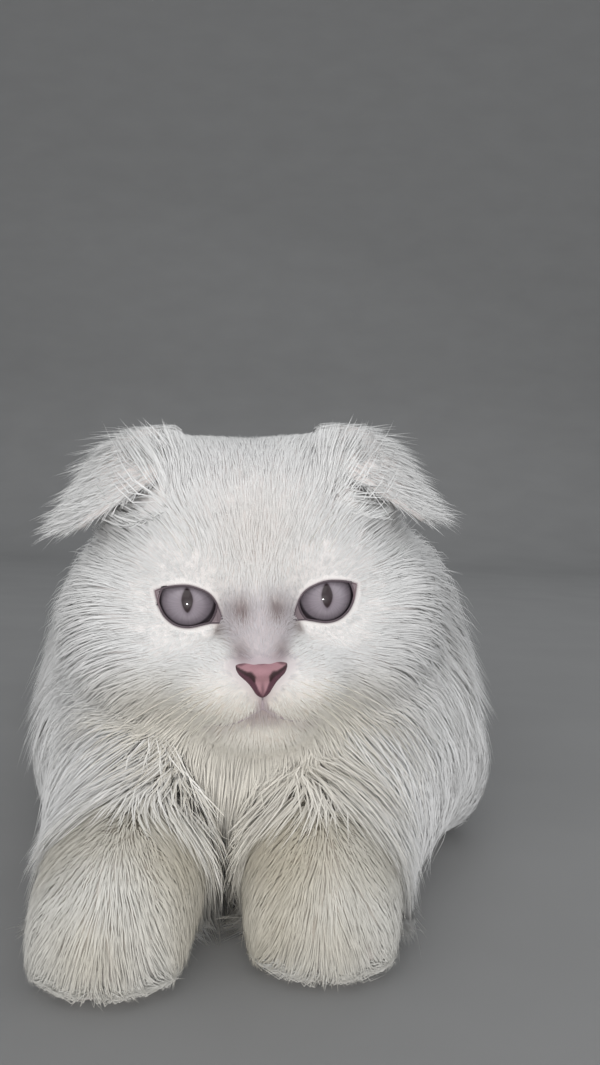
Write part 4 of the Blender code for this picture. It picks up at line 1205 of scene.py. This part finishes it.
def soft_normals(points, slope):
    """Directions that shade the coat: away from the skin, and away from the middle of the body."""
    along = np.clip(points[:, 1], *BODY_RANGE)
    middle = np.stack([0.0 * points[:, 0], along, np.full(len(points), BODY_HEIGHT)], axis=1)
    head = np.array(HEAD_PLACE @ Vector(HEAD_MIDDLE))
    on_head = ramp(points[:, 2], 0.075, 0.100) * ramp(-points[:, 1], -0.11, -0.07)
    middle += on_head[:, None] * (head - middle)
    return unit(unit(slope) + BODY_SHADE * unit(points - middle))


def hair_lines(roots, lie, field, steps, draw):
    """The middle lines and widths of the hairs from these roots, with tips drawn together in clumps."""
    count = len(roots)
    length, rise, width, _, curl, clump = lie.numbers(roots, lie.shares(roots))
    length = length * draw.uniform(0.75, 1.15, count)
    rise = rise * draw.uniform(0.35, 1.05, count)
    loose = draw.random(count) < LOOSE_SHARE
    rise = np.where(loose, rise * LOOSE_RISE, rise)
    width = np.where(loose, width * LOOSE_WIDTH, width)
    clump = np.where(loose, clump * LOOSE_CLUMP, clump) * ramp(length, 0.004, 0.016)
    centres = roots[draw.choice(count, count // CLUMP_SIZE, replace=False)]
    owner = nearest(roots, centres)
    clump_curl = draw.uniform(-1.0, 1.0, len(centres))
    curls = curl * (clump_curl[owner] + draw.uniform(-0.35, 0.35, count))
    lines = march(roots, lie, field, length, rise, curls, steps)
    length, rise, _, _, curl, _ = lie.numbers(centres, lie.shares(centres))
    goals = march(centres, lie, field, length, rise, curl * clump_curl, steps)
    pull = clump[:, None, None] * (np.linspace(0.0, 1.0, steps + 1) ** 1.6)[None, :, None]
    return lines + (goals[owner] - lines) * pull, width


# The bare widths round the nose and the lids and beside the mouth line, and where the mouth lies
BARE_WIDTH = 0.0007
BARE_MOUTH = 0.0005
MOUTH_MIDDLE = (0.0, -0.026, -0.034)
MOUTH_REACH = 0.025


def clear_of_features(points):
    """Where hair may grow: off the nose leather, the mouth line and the bare edges of the lids."""
    local = in_head(points)
    clear = nose_form().distance(local) > BARE_WIDTH
    for side in (LEFT, RIGHT):
        clear &= ~inside_lids(local, side, BARE_WIDTH)
    mouth = np.concatenate(mouth_rows())
    near = np.flatnonzero(np.linalg.norm(local - np.array(MOUTH_MIDDLE), axis=1) < MOUTH_REACH)
    if len(near):
        gaps = np.linalg.norm(local[near, None] - mouth[None], axis=2).min(1)
        clear[near] &= gaps > BARE_MOUTH
    return clear


def tube(name, rows, radii, sides, made_of, closed=False, flat=1.0, outs=None):
    """A smooth tube along a row of points."""
    rows = np.asarray(rows, float)
    ahead = np.roll(rows, -1, axis=0) if closed else np.concatenate([rows[1:], 2 * rows[-1:] - rows[-2:-1]])
    behind = np.roll(rows, 1, axis=0) if closed else np.concatenate([2 * rows[:1] - rows[1:2], rows[:-1]])
    along = unit(ahead - behind)
    outs = np.tile((0.0, -1.0, 0.0), (len(rows), 1)) if outs is None else outs
    across = unit(np.cross(along, outs))
    outs = np.cross(across, along)
    bm = bmesh.new()
    rings = []
    for at, point in enumerate(rows):
        ring = []
        for corner in range(sides):
            angle = 2.0 * math.pi * corner / sides
            offset = across[at] * math.cos(angle) + outs[at] * math.sin(angle) * flat
            ring.append(bm.verts.new(Vector(point + offset * radii[at])))
        rings.append(ring)
    pairs = list(zip(rings, rings[1:])) + ([(rings[-1], rings[0])] if closed else [])
    for low, high in pairs:
        for corner in range(sides):
            after = (corner + 1) % sides
            bm.faces.new((low[corner], low[after], high[after], high[corner])).smooth = True
    if not closed:
        bm.faces.new(list(reversed(rings[0])))
        bm.faces.new(rings[-1])
    bmesh.ops.recalc_face_normals(bm, faces=bm.faces[:])
    return object_from(bm, name, made_of)


# The radii of the rim round the opening and of the line in its corners, and how far both are sunk
LID_RIM = 0.00042
CORNER_RIM = 0.00026
RIM_SINK = 0.25
RIM_SIDES = 8


def make_lid_rims(side, made_of):
    """The dark bare edge of the lids, which runs out along the corners of the eye."""
    form = face_form()
    centre = np.array(eye_centre(side))
    rims = []
    lines = (
        ("lid_rim_", lid_outline(side, LID_HOLE), LID_RIM),
        ("lid_corners_", lid_outline(side), CORNER_RIM),
    )
    for name, ring, radius in lines:
        before = np.full(len(ring), BEFORE_FACE)
        rows = np.stack([ring[:, 0] + centre[0], before, ring[:, 1] + centre[2]], axis=1)
        rows = settle_forward(form, rows)
        here = form.distance(rows)
        outs = unit(form.slope(rows, here))
        rows = rows - outs * radius * RIM_SINK
        radii = np.full(len(rows), radius)
        name += SIDE_NAMES[side]
        rim = tube(name, rows, radii, RIM_SIDES, made_of, closed=True, flat=0.8, outs=outs)
        local = vertex_array(rim.data) - centre
        corner = ramp(side * local[:, 0], 0.0085, 0.0108)
        paint(rim.data, mixed(np.tile(LID_SKIN, (len(local), 1)), EYE_CORNER, 0.4 * corner))
        rim.data.transform(HEAD_PLACE)
        rims.append(rim)
    return rims


PUPIL_WIDTH = 0.0041
PUPIL_HEIGHT = 0.0088
IRIS_RADIUS = 0.0094
GAZE_RISE = 0.0013
EYE_RINGS = 96
EYE_SPOKES = 144
# The rings crowd together towards the front
RING_POWER = 1.35
CORNEA_SWELL = 0.0007
CORNEA_EDGE = (0.004, 0.0092)
IRIS_FIBRES = (23, 37, 61, 89)
FIBRE_CONTRAST = 0.13


def make_eye(side, made_of, draw):
    """An eyeball with a swelling cornea, a lilac-grey iris of fine fibres and a slit pupil."""
    polar = math.pi * (np.arange(1, EYE_RINGS) / EYE_RINGS) ** RING_POWER
    turn = np.linspace(0.0, 2.0 * math.pi, EYE_SPOKES, endpoint=False)
    polar, turn = (grid.ravel() for grid in np.meshgrid(polar, turn, indexing="ij"))
    polar = np.concatenate([[0.0], polar, [math.pi]])
    turn = np.concatenate([[0.0], turn, [0.0]])
    from_axis = EYE_RADIUS * np.sin(np.minimum(polar, math.pi / 2.0))
    swell = CORNEA_SWELL * (1.0 - ramp(from_axis, *CORNEA_EDGE))
    swell = np.where(polar < math.pi / 2.0, swell, 0.0)
    radius = EYE_RADIUS + swell
    x, z = radius * np.sin(polar) * np.cos(turn), radius * np.sin(polar) * np.sin(turn)
    points = np.stack([x, -radius * np.cos(polar), z], axis=1)
    faces = []
    for at in range(EYE_SPOKES):
        after = (at + 1) % EYE_SPOKES
        faces.append((0, 1 + after, 1 + at))
        for ring in range(EYE_RINGS - 2):
            low, high = 1 + ring * EYE_SPOKES, 1 + (ring + 1) * EYE_SPOKES
            faces.append((low + at, low + after, high + after, high + at))
        end = 1 + (EYE_RINGS - 2) * EYE_SPOKES
        faces.append((end + at, end + after, len(points) - 1))
    name = "eyeball_" + SIDE_NAMES[side]
    mesh = smooth_mesh(name, points.tolist(), faces)
    paint(mesh, eye_colours(x, z, polar, turn, draw))
    eye = mesh_object(name, mesh, made_of)
    mesh.transform(HEAD_PLACE @ Matrix.Translation(eye_centre(side)))
    return eye


def eye_colours(x, z, polar, turn, draw):
    """The slit pupil, the iris with its fibres and its dark edge, and the dull white round it."""
    z = z - GAZE_RISE
    from_middle = np.hypot(x, z)
    share = from_middle / IRIS_RADIUS
    colours = mixed(np.tile(IRIS_INNER, (len(x), 1)), IRIS_MIDDLE, ramp(share, 0.20, 0.55))
    colours = mixed(colours, IRIS_OUTER, ramp(share, 0.60, 0.92))
    fibres = np.zeros(len(x))
    for count in IRIS_FIBRES:
        phase = draw.uniform(0.0, 2.0 * math.pi)
        fibres += np.sin(count * turn + phase + 2.0 * np.sin(3.0 * turn + share * 4.0)) / len(IRIS_FIBRES)
    colours = colours * (1.0 + FIBRE_CONTRAST * fibres * ramp(share, 0.18, 0.35))[:, None]
    colours = mixed(colours, LIMBUS, ramp(share, 0.93, 1.0))
    colours = mixed(colours, SCLERA, ramp(share, 1.05, 1.12) * (polar > 0.5))
    slit = (np.abs(x) / (PUPIL_WIDTH / 2.0)) ** 1.6 + (np.abs(z) / (PUPIL_HEIGHT / 2.0)) ** 1.6
    colours = mixed(colours, LIMBUS * 2.0, 0.5 * (1.0 - ramp(slit, 1.0, 1.7)))
    return mixed(colours, PUPIL, 1.0 - ramp(slit, 0.80, 1.10))


# The upper edge of the pink, the upper edge of the dark wings and nostrils, each across and up, and
# half the width of the pink column between the nostrils, up and across
NOSE_TOP = ((0.0, -0.0181), (0.0045, -0.0176), (0.0066, -0.0186), (0.0100, -0.0190))
NOSTRIL_TOP = (
    (0.0, -0.0240), (0.0024, -0.0228), (0.0029, -0.0213), (0.0039, -0.0204), (0.0050, -0.0204),
    (0.0070, -0.0196), (0.0100, -0.0181),
)
NOSE_COLUMN = ((-0.0285, 0.0), (-0.0276, 0.0004), (-0.0260, 0.0013), (-0.0232, 0.0024), (-0.0212, 0.0028))
# One nostril's painted shade, from the wing's corner to its hollow and on as a thin line to the foot
NOSTRIL_LINE = (
    (0.0098, -0.0183), (0.0070, -0.0197), (0.0050, -0.0207), (0.0038, -0.0209), (0.0030, -0.0218),
    (0.0026, -0.0232),
)
NOSTRIL_RADII = (0.0005, 0.0007, 0.0010, 0.0014, 0.0013, 0.0006)
NOSTRIL_DEPTH = 0.0001
NOSE_VOXEL = 0.00035


def nose_colours(points):
    """Pink above and down the middle, wine-dark below the nostrils and along the wings, with painted shade
    in the nostrils and in a groove down the foot.
    """
    x, z = np.abs(points[:, 0]), points[:, 2]
    colours = np.tile(NOSE_PINK, (len(points), 1))
    top = np.interp(x, *np.array(NOSE_TOP).T)
    colours = mixed(colours, NOSE_EDGE, 0.75 * ramp(z - top, -0.0003, 0.0004))
    below = ramp(np.interp(x, *np.array(NOSTRIL_TOP).T) - z, -0.0002, 0.0003)
    aside = ramp(x - np.interp(z, *np.array(NOSE_COLUMN).T), -0.0003, 0.0003)
    colours = mixed(colours, NOSE_WINE, below * aside)
    # Painted shade in a groove down the middle of the foot, which the form itself lacks
    groove_shade = np.exp(-((x / 0.0006) ** 2)) * ramp(-z, 0.0222, 0.0255)
    colours = mixed(colours, NOSE_EDGE, 0.7 * groove_shade)
    # Painted shade in the nostrils, which are pushed in only a little
    dark = stroke(np.stack([x, z], axis=1), NOSTRIL_LINE, NOSTRIL_RADII)
    return mixed(colours, NOSTRIL_SHADE, 0.9 * dark), dark


def make_nose(made_of):
    """The nose leather, with its nostrils pushed in a little and darkened with painted shade."""
    nose = remeshed_form("nose_leather", nose_form(), NOSE_VOXEL, made_of)
    shade_smooth(nose.data)
    points = vertex_array(nose.data)
    colours, dark = nose_colours(points)
    points[:, 1] += NOSTRIL_DEPTH * dark * ramp(points[:, 2], -0.0250, -0.0232)
    set_vertices(nose.data, points)
    paint(nose.data, colours)
    nose.data.transform(HEAD_PLACE)
    return nose


MOUTH_RADIUS = 0.00042
MOUTH_SIDES = 7


def make_mouth(made_of):
    """The dark lines of the mouth, thinner towards both ends: lip skin, darkened also with painted shade for
    the split of the mouth.
    """
    lines = []
    for row, side in zip(mouth_rows(), SIDE_NAMES.values()):
        radii = MOUTH_RADIUS * (0.35 + 0.65 * np.sin(np.linspace(0.35, math.pi - 0.10, len(row))))
        line = tube("mouth_line_" + side, row, radii, MOUTH_SIDES, made_of, flat=0.7)
        paint(line.data, np.tile(MOUTH_LIP_AND_SHADE, (len(line.data.vertices), 1)))
        line.data.transform(HEAD_PLACE)
        lines.append(line)
    return lines


# Rows of the folded ear from its base, over the fold, to the tip, for the cat's left side
EAR_ROWS = (
    ((0.027, 0.050, 0.046), (0.044, 0.052, 0.038), (0.054, 0.048, 0.018)),
    ((0.033, 0.041, 0.058), (0.051, 0.043, 0.051), (0.062, 0.041, 0.036)),
    ((0.033, 0.022, 0.058), (0.051, 0.020, 0.051), (0.063, 0.023, 0.034)),
    ((0.030, 0.007, 0.046), (0.048, 0.002, 0.035), (0.063, 0.006, 0.026)),
)
EAR_COLUMNS = 25
EAR_LINES = 33
EAR_THICKNESS = 0.0022
# How far the middle rows are pushed out, so that the sheet passes near them
EAR_BULGE = 0.9
# The radius of the limbs along the ears' edges, and how far the front ones lie off the edge
EAR_ROOT = 0.0010
FRONT_ROOT_SHIFT = (0.0, -0.0010, -0.0020)


def bent_row(points, count):
    """Points along the curve through three places."""
    a, b, c = (np.array(p, float) for p in points)
    t = np.linspace(0.0, 1.0, count)[:, None]
    return a * (1 - t) * (1 - 2 * t) + b * 4 * t * (1 - t) + c * t * (2 * t - 1)


def ear_grid():
    """Points of the left ear's sheet, as lines from base to tip and columns from inner to outer edge."""
    a, b, c, d = (bent_row(row, EAR_COLUMNS) for row in EAR_ROWS)
    b, c = b + (b - (2 * a + d) / 3.0) * EAR_BULGE, c + (c - (a + 2 * d) / 3.0) * EAR_BULGE
    lines = []
    for t in np.linspace(0.0, 1.0, EAR_LINES):
        lines.append(a * (1 - t) ** 3 + 3 * b * t * (1 - t) ** 2 + 3 * c * t * t * (1 - t) + d * t**3)
    return np.array(lines)


def ear_frames():
    """The left ear's sheet, its outward normals, and its ways from base to tip and from inner to outer."""
    grid = ear_grid()
    down, outward = np.gradient(grid, axis=0), np.gradient(grid, axis=1)
    ways = np.cross(down, outward), down, outward
    return grid, *(unit(way.reshape(-1, 3)).reshape(grid.shape) for way in ways)


def ear_roots():
    """Thin limbs along the ears' inner and front edges, over which the head's hair rises onto them."""
    found = []
    for side in (LEFT, RIGHT):
        flip = np.array((side, 1.0, 1.0))
        inner = np.array([row[0] for row in EAR_ROWS]) - np.array((0.0, 0.0, EAR_ROOT))
        front = bent_row(EAR_ROWS[-1], 7)[:3] + np.array(FRONT_ROOT_SHIFT)
        for edge in (inner, front):
            edge = [HEAD_PLACE @ Vector(point * flip) for point in edge]
            found += [Limb(a, b, EAR_ROOT, EAR_ROOT) for a, b in zip(edge, edge[1:])]
    return found


def ear_unwrap():
    """The ear's outer side unrolled into the left half of the map, and its inner side into the right."""
    line, column = np.meshgrid(np.arange(EAR_LINES), np.arange(EAR_COLUMNS), indexing="ij")
    across = 0.02 + 0.44 * column / (EAR_COLUMNS - 1)
    along = 0.02 + 0.96 * line / (EAR_LINES - 1)
    outer = np.stack([across, along], axis=2)
    return outer, outer + np.array((0.52, 0.0))


def make_ear(side, made_of):
    """The folded sheet of one ear, faintly pink under the hair."""
    grid, normals, _, _ = ear_frames()
    flip = np.array((side, 1.0, 1.0))
    outer = (grid + normals * EAR_THICKNESS / 2.0) * flip
    inner = (grid - normals * EAR_THICKNESS / 2.0) * flip
    number = np.arange(EAR_LINES * EAR_COLUMNS).reshape(EAR_LINES, EAR_COLUMNS)
    other = number + number.size
    faces = []
    for line in range(EAR_LINES - 1):
        for column in range(EAR_COLUMNS - 1):
            near = slice(line, line + 2), slice(column, column + 2)
            a, b, d, c = number[near].ravel()
            faces.append((a, b, c, d))
            a, b, d, c = other[near].ravel()
            faces.append((d, c, b, a))
    rim = [*number[0], *number[1:, -1], *number[-1, -2::-1], *number[-2:0:-1, 0]]
    for here, after in zip(rim, rim[1:] + rim[:1]):
        faces.append((after, here, here + number.size, after + number.size))
    name = "ear_sheet_" + SIDE_NAMES[side]
    points = np.concatenate([outer.reshape(-1, 3), inner.reshape(-1, 3)])
    mesh = smooth_mesh(name, points.tolist(), [face[::side] for face in faces])
    unwrapped = np.concatenate([part.reshape(-1, 2) for part in ear_unwrap()])
    corners = np.empty(len(mesh.loops), np.int32)
    mesh.loops.foreach_get("vertex_index", corners)
    keep_unwrap(mesh, unwrapped[corners])
    paint(mesh, np.tile(EAR_PINK, (len(points), 1)))
    mesh.transform(HEAD_PLACE)
    return mesh_object(name, mesh, made_of)


# The three kinds of hair on an ear: over its outside, as a fringe at its tip and as wisps at its outer
# corner. Each kind has its count, its first line and column on the sheet, its length, rise and width.
EAR_HAIR_COUNTS = (4900, 900, 1000)
EAR_FIRST_LINES = np.array((0.0, 27.0, 18.0))
EAR_FIRST_COLUMNS = np.array((-5.0, -3.0, 4.0))
EAR_HAIR_LENGTHS = np.array((0.0085, 0.0060, 0.0150))
EAR_HAIR_RISES = np.array((0.0010, -0.0010, 0.0022))
EAR_HAIR_WIDTHS = np.array((0.00058, 0.00050, 0.00036))
EAR_STEPS = 3
EAR_SPREAD = 0.22
EAR_ROOT_DEPTH = 0.0008
EAR_DROOP = 0.06
# The most that a hair on the ear may point up
EAR_HIGHEST_WAY = 0.05


def ear_hair_lines(line, column, length, rise, fringe, draw):
    """Middle lines and normals of hairs rooted on the left ear's sheet, leaning outward over the fold."""
    grid, normals, down, outward = ear_frames()
    low = np.clip(line.astype(int), 0, EAR_LINES - 2)
    left = np.clip(column.astype(int), 0, EAR_COLUMNS - 2)
    up_share, side_share = (line - low)[:, None], (column - left)[:, None]

    def read(values):
        first = values[low, left] * (1 - side_share) + values[low, left + 1] * side_share
        second = values[low + 1, left] * (1 - side_share) + values[low + 1, left + 1] * side_share
        return first * (1 - up_share) + second * up_share

    roots = read(grid)
    normal, along, across = (unit(read(values)) for values in (normals, down, outward))
    tip = ramp(line / (EAR_LINES - 1), 0.60, 1.0)
    outer = ramp(column / (EAR_COLUMNS - 1), 0.30, 1.0)
    ahead = np.where(fringe, 0.40, 0.50 - 0.40 * tip) - 0.35 * outer
    aside = np.where(fringe, 0.80, 0.85 + 0.5 * tip)
    way = along * ahead[:, None] + across * aside[:, None]
    way = way + np.array((0.5, 0.0, 0.1)) * (tip * outer)[:, None]
    way = way + draw.normal(0.0, EAR_SPREAD, (len(line), 3))
    way[:, 2] = np.minimum(way[:, 2], EAR_HIGHEST_WAY)
    way = unit(way)
    lines = [roots - normal * EAR_ROOT_DEPTH]
    for step in range(1, EAR_STEPS + 1):
        share = step / EAR_STEPS
        droop = np.array((0.0, 0.0, -1.0)) * (EAR_DROOP * length * share**2)[:, None]
        lift = normal * (rise * share**RISE_POWER)[:, None]
        lines.append(roots + way * (length * share)[:, None] + lift + droop)
    return np.stack(lines, axis=1), normal


def grow_ear_hair(side, made_of, draw, quick):
    """Hair over the outside of the ear, a ragged fringe at its tip and long wisps at its outer corner."""
    counts = np.array(EAR_HAIR_COUNTS) // (3 if quick else 1)
    kind = np.repeat((0, 1, 2), counts)
    line = draw.uniform(EAR_FIRST_LINES[kind], EAR_LINES - 1.0)
    column = draw.uniform(EAR_FIRST_COLUMNS[kind], EAR_COLUMNS - 1.0)
    outer = ramp(column / (EAR_COLUMNS - 1), 0.35, 0.95)
    low = ramp(line / (EAR_LINES - 1), 0.50, 0.90)
    length = EAR_HAIR_LENGTHS[kind] * (1.0 - 0.40 * outer * (1.0 - low)) + 0.0030 * outer * low
    length *= draw.uniform(0.7, 1.2, len(line))
    rise = EAR_HAIR_RISES[kind] * draw.uniform(0.3, 1.4, len(line))
    lines, normal = ear_hair_lines(line, column, length, rise, kind == 1, draw)
    flip = np.array((side, 1.0, 1.0))
    lines = placed((lines * flip).reshape(-1, 3), HEAD_PLACE).reshape(lines.shape)
    normal = (normal * flip) @ np.array(HEAD_PLACE.to_3x3()).T
    normals = np.repeat(normal[:, None], EAR_STEPS + 1, axis=1)
    width = EAR_HAIR_WIDTHS[kind] * (QUICK_WIDTH if quick else 1.0)
    sheet_unwrap, _ = ear_unwrap()
    nearest_line = np.clip(line, 0, EAR_LINES - 1).astype(int)
    nearest_column = np.clip(column, 0, EAR_COLUMNS - 1).astype(int)
    tints = np.tile(HAIR * 0.90, (len(line), 1)) * draw.uniform(0.93, 1.03, len(line))[:, None]
    unwrapped = sheet_unwrap[nearest_line, nearest_column]
    return hair_mesh("ear_hair_" + SIDE_NAMES[side], lines, normals, width, unwrapped, tints, made_of)


WHISKER_ROWS = 4
WHISKER_PLACES = 3
WHISKER_RADIUS = 0.00013
WHISKER_TIP = 0.15
WHISKER_POINTS = 12
WHISKER_SIDES = 4
BROW_HAIRS = 3
BROW_LENGTH = 0.022


def whisker_rows(side, draw):
    """The middle line of each whisker, in the head's frame."""
    form = bare_face_form()
    places = np.linspace(0.0, 1.0, WHISKER_POINTS)[:, None]
    rows = []
    for line in range(WHISKER_ROWS):
        for place in range(WHISKER_PLACES):
            x = 0.0125 + 0.0040 * place
            z = -0.0245 - 0.0030 * line
            root = settle_forward(form, np.array([[side * x, BEFORE_FACE, z]]))[0]
            length = 0.034 + 0.007 * place + draw.uniform(-0.006, 0.006)
            down = -0.42 - 0.16 * line + draw.uniform(-0.08, 0.08)
            way = np.array((side * 1.0, -0.10 + 0.05 * place, down))
            way /= np.linalg.norm(way)
            bend = np.array((0.0, 0.20, -0.22 - 0.05 * line))
            rows.append(root + way * places * length + bend * places**2 * length)
    for at in range(BROW_HAIRS):
        root = np.array((side * (0.017 + 0.004 * at), -0.012, 0.0165))
        way = np.array((side * 0.25, -0.45, 0.85))
        bend = np.array((side * 0.15, -0.1, -0.2))
        rows.append(root + way * places * BROW_LENGTH + bend * places**2 * BROW_LENGTH)
    return rows


def make_whiskers(side, made_of, draw):
    """Fine stiff hairs from the whisker pad, down and outward, and a few over the eye."""
    bm = bmesh.new()
    for row in whisker_rows(side, draw):
        radii = WHISKER_RADIUS * np.linspace(1.0, WHISKER_TIP, len(row))
        rings = []
        for (x, y, z), radius in zip(row, radii):
            turns = [2.0 * math.pi * corner / WHISKER_SIDES for corner in range(WHISKER_SIDES)]
            ring = [(x, y + radius * math.cos(turn), z + radius * math.sin(turn)) for turn in turns]
            rings.append([bm.verts.new(corner) for corner in ring])
        for low, high in zip(rings, rings[1:]):
            for corner in range(WHISKER_SIDES):
                after = (corner + 1) % WHISKER_SIDES
                bm.faces.new((low[corner], low[after], high[after], high[corner])).smooth = True
        bm.faces.new(rings[0])
        bm.faces.new(rings[-1])
    bmesh.ops.recalc_face_normals(bm, faces=bm.faces[:])
    whiskers = object_from(bm, "whiskers_" + SIDE_NAMES[side], made_of)
    paint(whiskers.data, np.tile(HAIR_CREAM, (len(whiskers.data.vertices), 1)))
    whiskers.data.transform(HEAD_PLACE)
    return whiskers


def wet_material():
    """The eye's surface under its clear wet coat."""
    made = tinted_material("eye_surface")
    shader = made.node_tree.nodes["Principled BSDF"]
    shader.inputs["Coat Weight"].default_value = 1.0
    shader.inputs["Coat Roughness"].default_value = 0.03
    shader.inputs["Coat IOR"].default_value = 1.38
    return made


def solids_shift():
    """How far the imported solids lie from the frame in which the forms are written."""
    corners = [corner for name in ("eye_left", "eye_right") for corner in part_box(name)]
    middle = sum(corners, Vector()) / len(corners)
    meant = HEAD_PLACE @ Vector((0.0, EYE_SINK, 0.0))
    return Matrix.Translation((middle.x - meant.x, middle.y - meant.y, 0.0))


# Each lamp: its place, the point it aims at, its two sides, its power and its colour
LAMPS = {
    "key": ((-0.5, -1.3, 1.15), (0.0, 0.0, 0.08), (2.0, 1.4), 6.2, (1.0, 0.99, 0.97)),
    "fill": ((1.2, -1.0, 0.7), (0.0, 0.0, 0.08), (1.6, 1.2), 3.0, (0.97, 0.98, 1.0)),
    "back": ((0.3, 1.1, 1.4), (0.0, 0.05, 0.10), (1.2, 0.6), 4.0, (0.94, 0.97, 1.0)),
    "catch_light": ((0.05, -0.9, 0.015), (0.0, 0.0, 0.10), (0.05, 0.05), 1.0, (1.0, 1.0, 1.0)),
    "front": ((0.05, -1.5, 0.30), (0.0, 0.0, 0.09), (1.4, 0.5), 9.0, (1.0, 1.0, 1.0)),
}
SKY = (0.93, 0.95, 0.97, 1.0)
SKY_STRENGTH = 0.47
CLIP_START = 0.01


def add_lamp(name):
    """One rectangular lamp. The broad front lamp isn't mirrored in the eyes."""
    place, aim, size, power, colour = LAMPS[name]
    lamp = bpy.data.lights.new(name, "AREA")
    lamp.shape = "RECTANGLE"
    lamp.size, lamp.size_y = size
    lamp.energy = power
    lamp.color = colour
    obj = bpy.data.objects.new(name, lamp)
    bpy.context.scene.collection.objects.link(obj)
    obj.location = place
    obj.rotation_euler = (Vector(aim) - Vector(place)).to_track_quat("-Z", "Y").to_euler()
    obj.visible_glossy = name != "front"


FLOOR_FRONT = -2.5
FLOOR_HALF = 3.0
SWEEP_START = 1.3
SWEEP_RADIUS = 0.5
SWEEP_STEPS = 12
BACKDROP_TOP = 3.0
FLOOR_ROUGHNESS = 0.8
FLOOR_GRAIN = 60.0
FLOOR_GREYS = (0.25, 0.29)


def make_stage():
    """A plain pale floor that sweeps up into a grey backdrop."""
    profile = [(FLOOR_FRONT, 0.0), (SWEEP_START, 0.0)]
    for at in range(1, SWEEP_STEPS + 1):
        angle = math.pi / 2.0 * at / SWEEP_STEPS
        back = SWEEP_START + SWEEP_RADIUS * math.sin(angle)
        profile.append((back, SWEEP_RADIUS - SWEEP_RADIUS * math.cos(angle)))
    profile.append((SWEEP_START + SWEEP_RADIUS, BACKDROP_TOP))
    vertices = [(x, y, z) for y, z in profile for x in (-FLOOR_HALF, FLOOR_HALF)]
    faces = [(2 * at, 2 * at + 1, 2 * at + 3, 2 * at + 2) for at in range(len(profile) - 1)]
    mesh = smooth_mesh("floor", vertices, faces)
    made, nodes, links, shader = shader_parts("floor", FLOOR_ROUGHNESS)
    noise = nodes.new("ShaderNodeTexNoise")
    noise.inputs["Scale"].default_value = FLOOR_GRAIN
    links.new(ranged(nodes, links, noise, *FLOOR_GREYS), shader.inputs["Base Color"])
    floor = mesh_object("floor", mesh, made)


def make_lights_and_camera(shift):
    """The lamps, the sky and the camera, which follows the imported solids."""
    for name in LAMPS:
        add_lamp(name)
    world = bpy.data.worlds.new("world")
    world.use_nodes = True
    sky = world.node_tree.nodes["Background"]
    sky.inputs["Color"].default_value = SKY
    sky.inputs["Strength"].default_value = SKY_STRENGTH
    bpy.context.scene.world = world
    bpy.context.scene.view_settings.view_transform = "Standard"
    data = bpy.data.cameras.new("camera")
    data.sensor_fit = "VERTICAL"
    data.sensor_height = SENSOR
    data.lens = FOCAL_PIXELS / PHOTO_HEIGHT * SENSOR
    data.clip_start = CLIP_START
    camera = bpy.data.objects.new("camera", data)
    bpy.context.scene.collection.objects.link(camera)
    turn = Matrix.Rotation(math.radians(90) - CAMERA_PITCH, 4, "X") @ Matrix.Rotation(CAMERA_ROLL, 4, "Z")
    camera.matrix_world = shift @ Matrix.Translation(CAMERA_PLACE) @ turn
    bpy.context.scene.camera = camera


# The solids that the skin and its coat stand in for
FLESH_NODES = (
    "head", "neck_ruff", "torso", "tail_base", "tail_middle", "tail_end",
    *("%s_%s" % (kind, side) for kind in LIMB_KINDS for side in SIDE_NAMES.values()),
)


# The parts of the skin flow together over this width
FLESH_BLEND = 0.004
# The grid over the coat: how far it reaches past the skin, and its step
FIELD_MARGIN = 0.024
FIELD_STEP = 0.0026
QUICK_FIELD_STEP = 0.0034


def main():
    """Builds the cat over its solids, then the stage, the lights and the camera."""
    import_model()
    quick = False
    draw = np.random.default_rng(SEED)
    forms = body_forms()
    flesh = Form(list(forms.values()), FLESH_BLEND)
    lie = Lie(forms)
    skin = make_skin(flesh, quick)
    unwrap(skin)
    points = vertex_array(skin.data)
    bridged = Form([*forms.values(), *ear_roots()], COAT_BLEND)
    low, high = points.min(0) - FIELD_MARGIN, points.max(0) + FIELD_MARGIN
    field = Grid(bridged, low, high, QUICK_FIELD_STEP if quick else FIELD_STEP)
    hair = tinted_material("coat_hair")
    leather = tinted_material("nose_skin")
    rim = tinted_material("lid_skin")
    lip = tinted_material("lip_skin")
    wet = wet_material()
    coat = grow_coat(Surface(skin), lie, field, hair, draw, quick)
    nose = make_nose(leather)
    mouth = make_mouth(lip)
    eyes, rims, ears, ear_hair, whiskers = {}, [], {}, [], []
    ear_skin = tinted_material("ear_skin")
    for side in (LEFT, RIGHT):
        eyes[side] = make_eye(side, wet, draw)
        rims += make_lid_rims(side, rim)
        ears[side] = make_ear(side, ear_skin)
        ear_hair.append(grow_ear_hair(side, hair, draw, quick))
        whiskers.append(make_whiskers(side, hair, draw))
    shift = solids_shift()
    for piece in [skin, nose, *coat, *mouth, *eyes.values(), *rims, *ears.values(), *ear_hair, *whiskers]:
        piece.data.transform(shift)
        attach(piece, "root")
    for piece in [skin, *coat, *mouth, *rims, *ears.values(), *ear_hair, *whiskers]:
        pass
    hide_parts(*FLESH_NODES)
    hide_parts("nose")
    for side in (LEFT, RIGHT):
        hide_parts("eye_" + SIDE_NAMES[side])
        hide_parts("ear_" + SIDE_NAMES[side])
    make_stage()
    make_lights_and_camera(shift)


main()
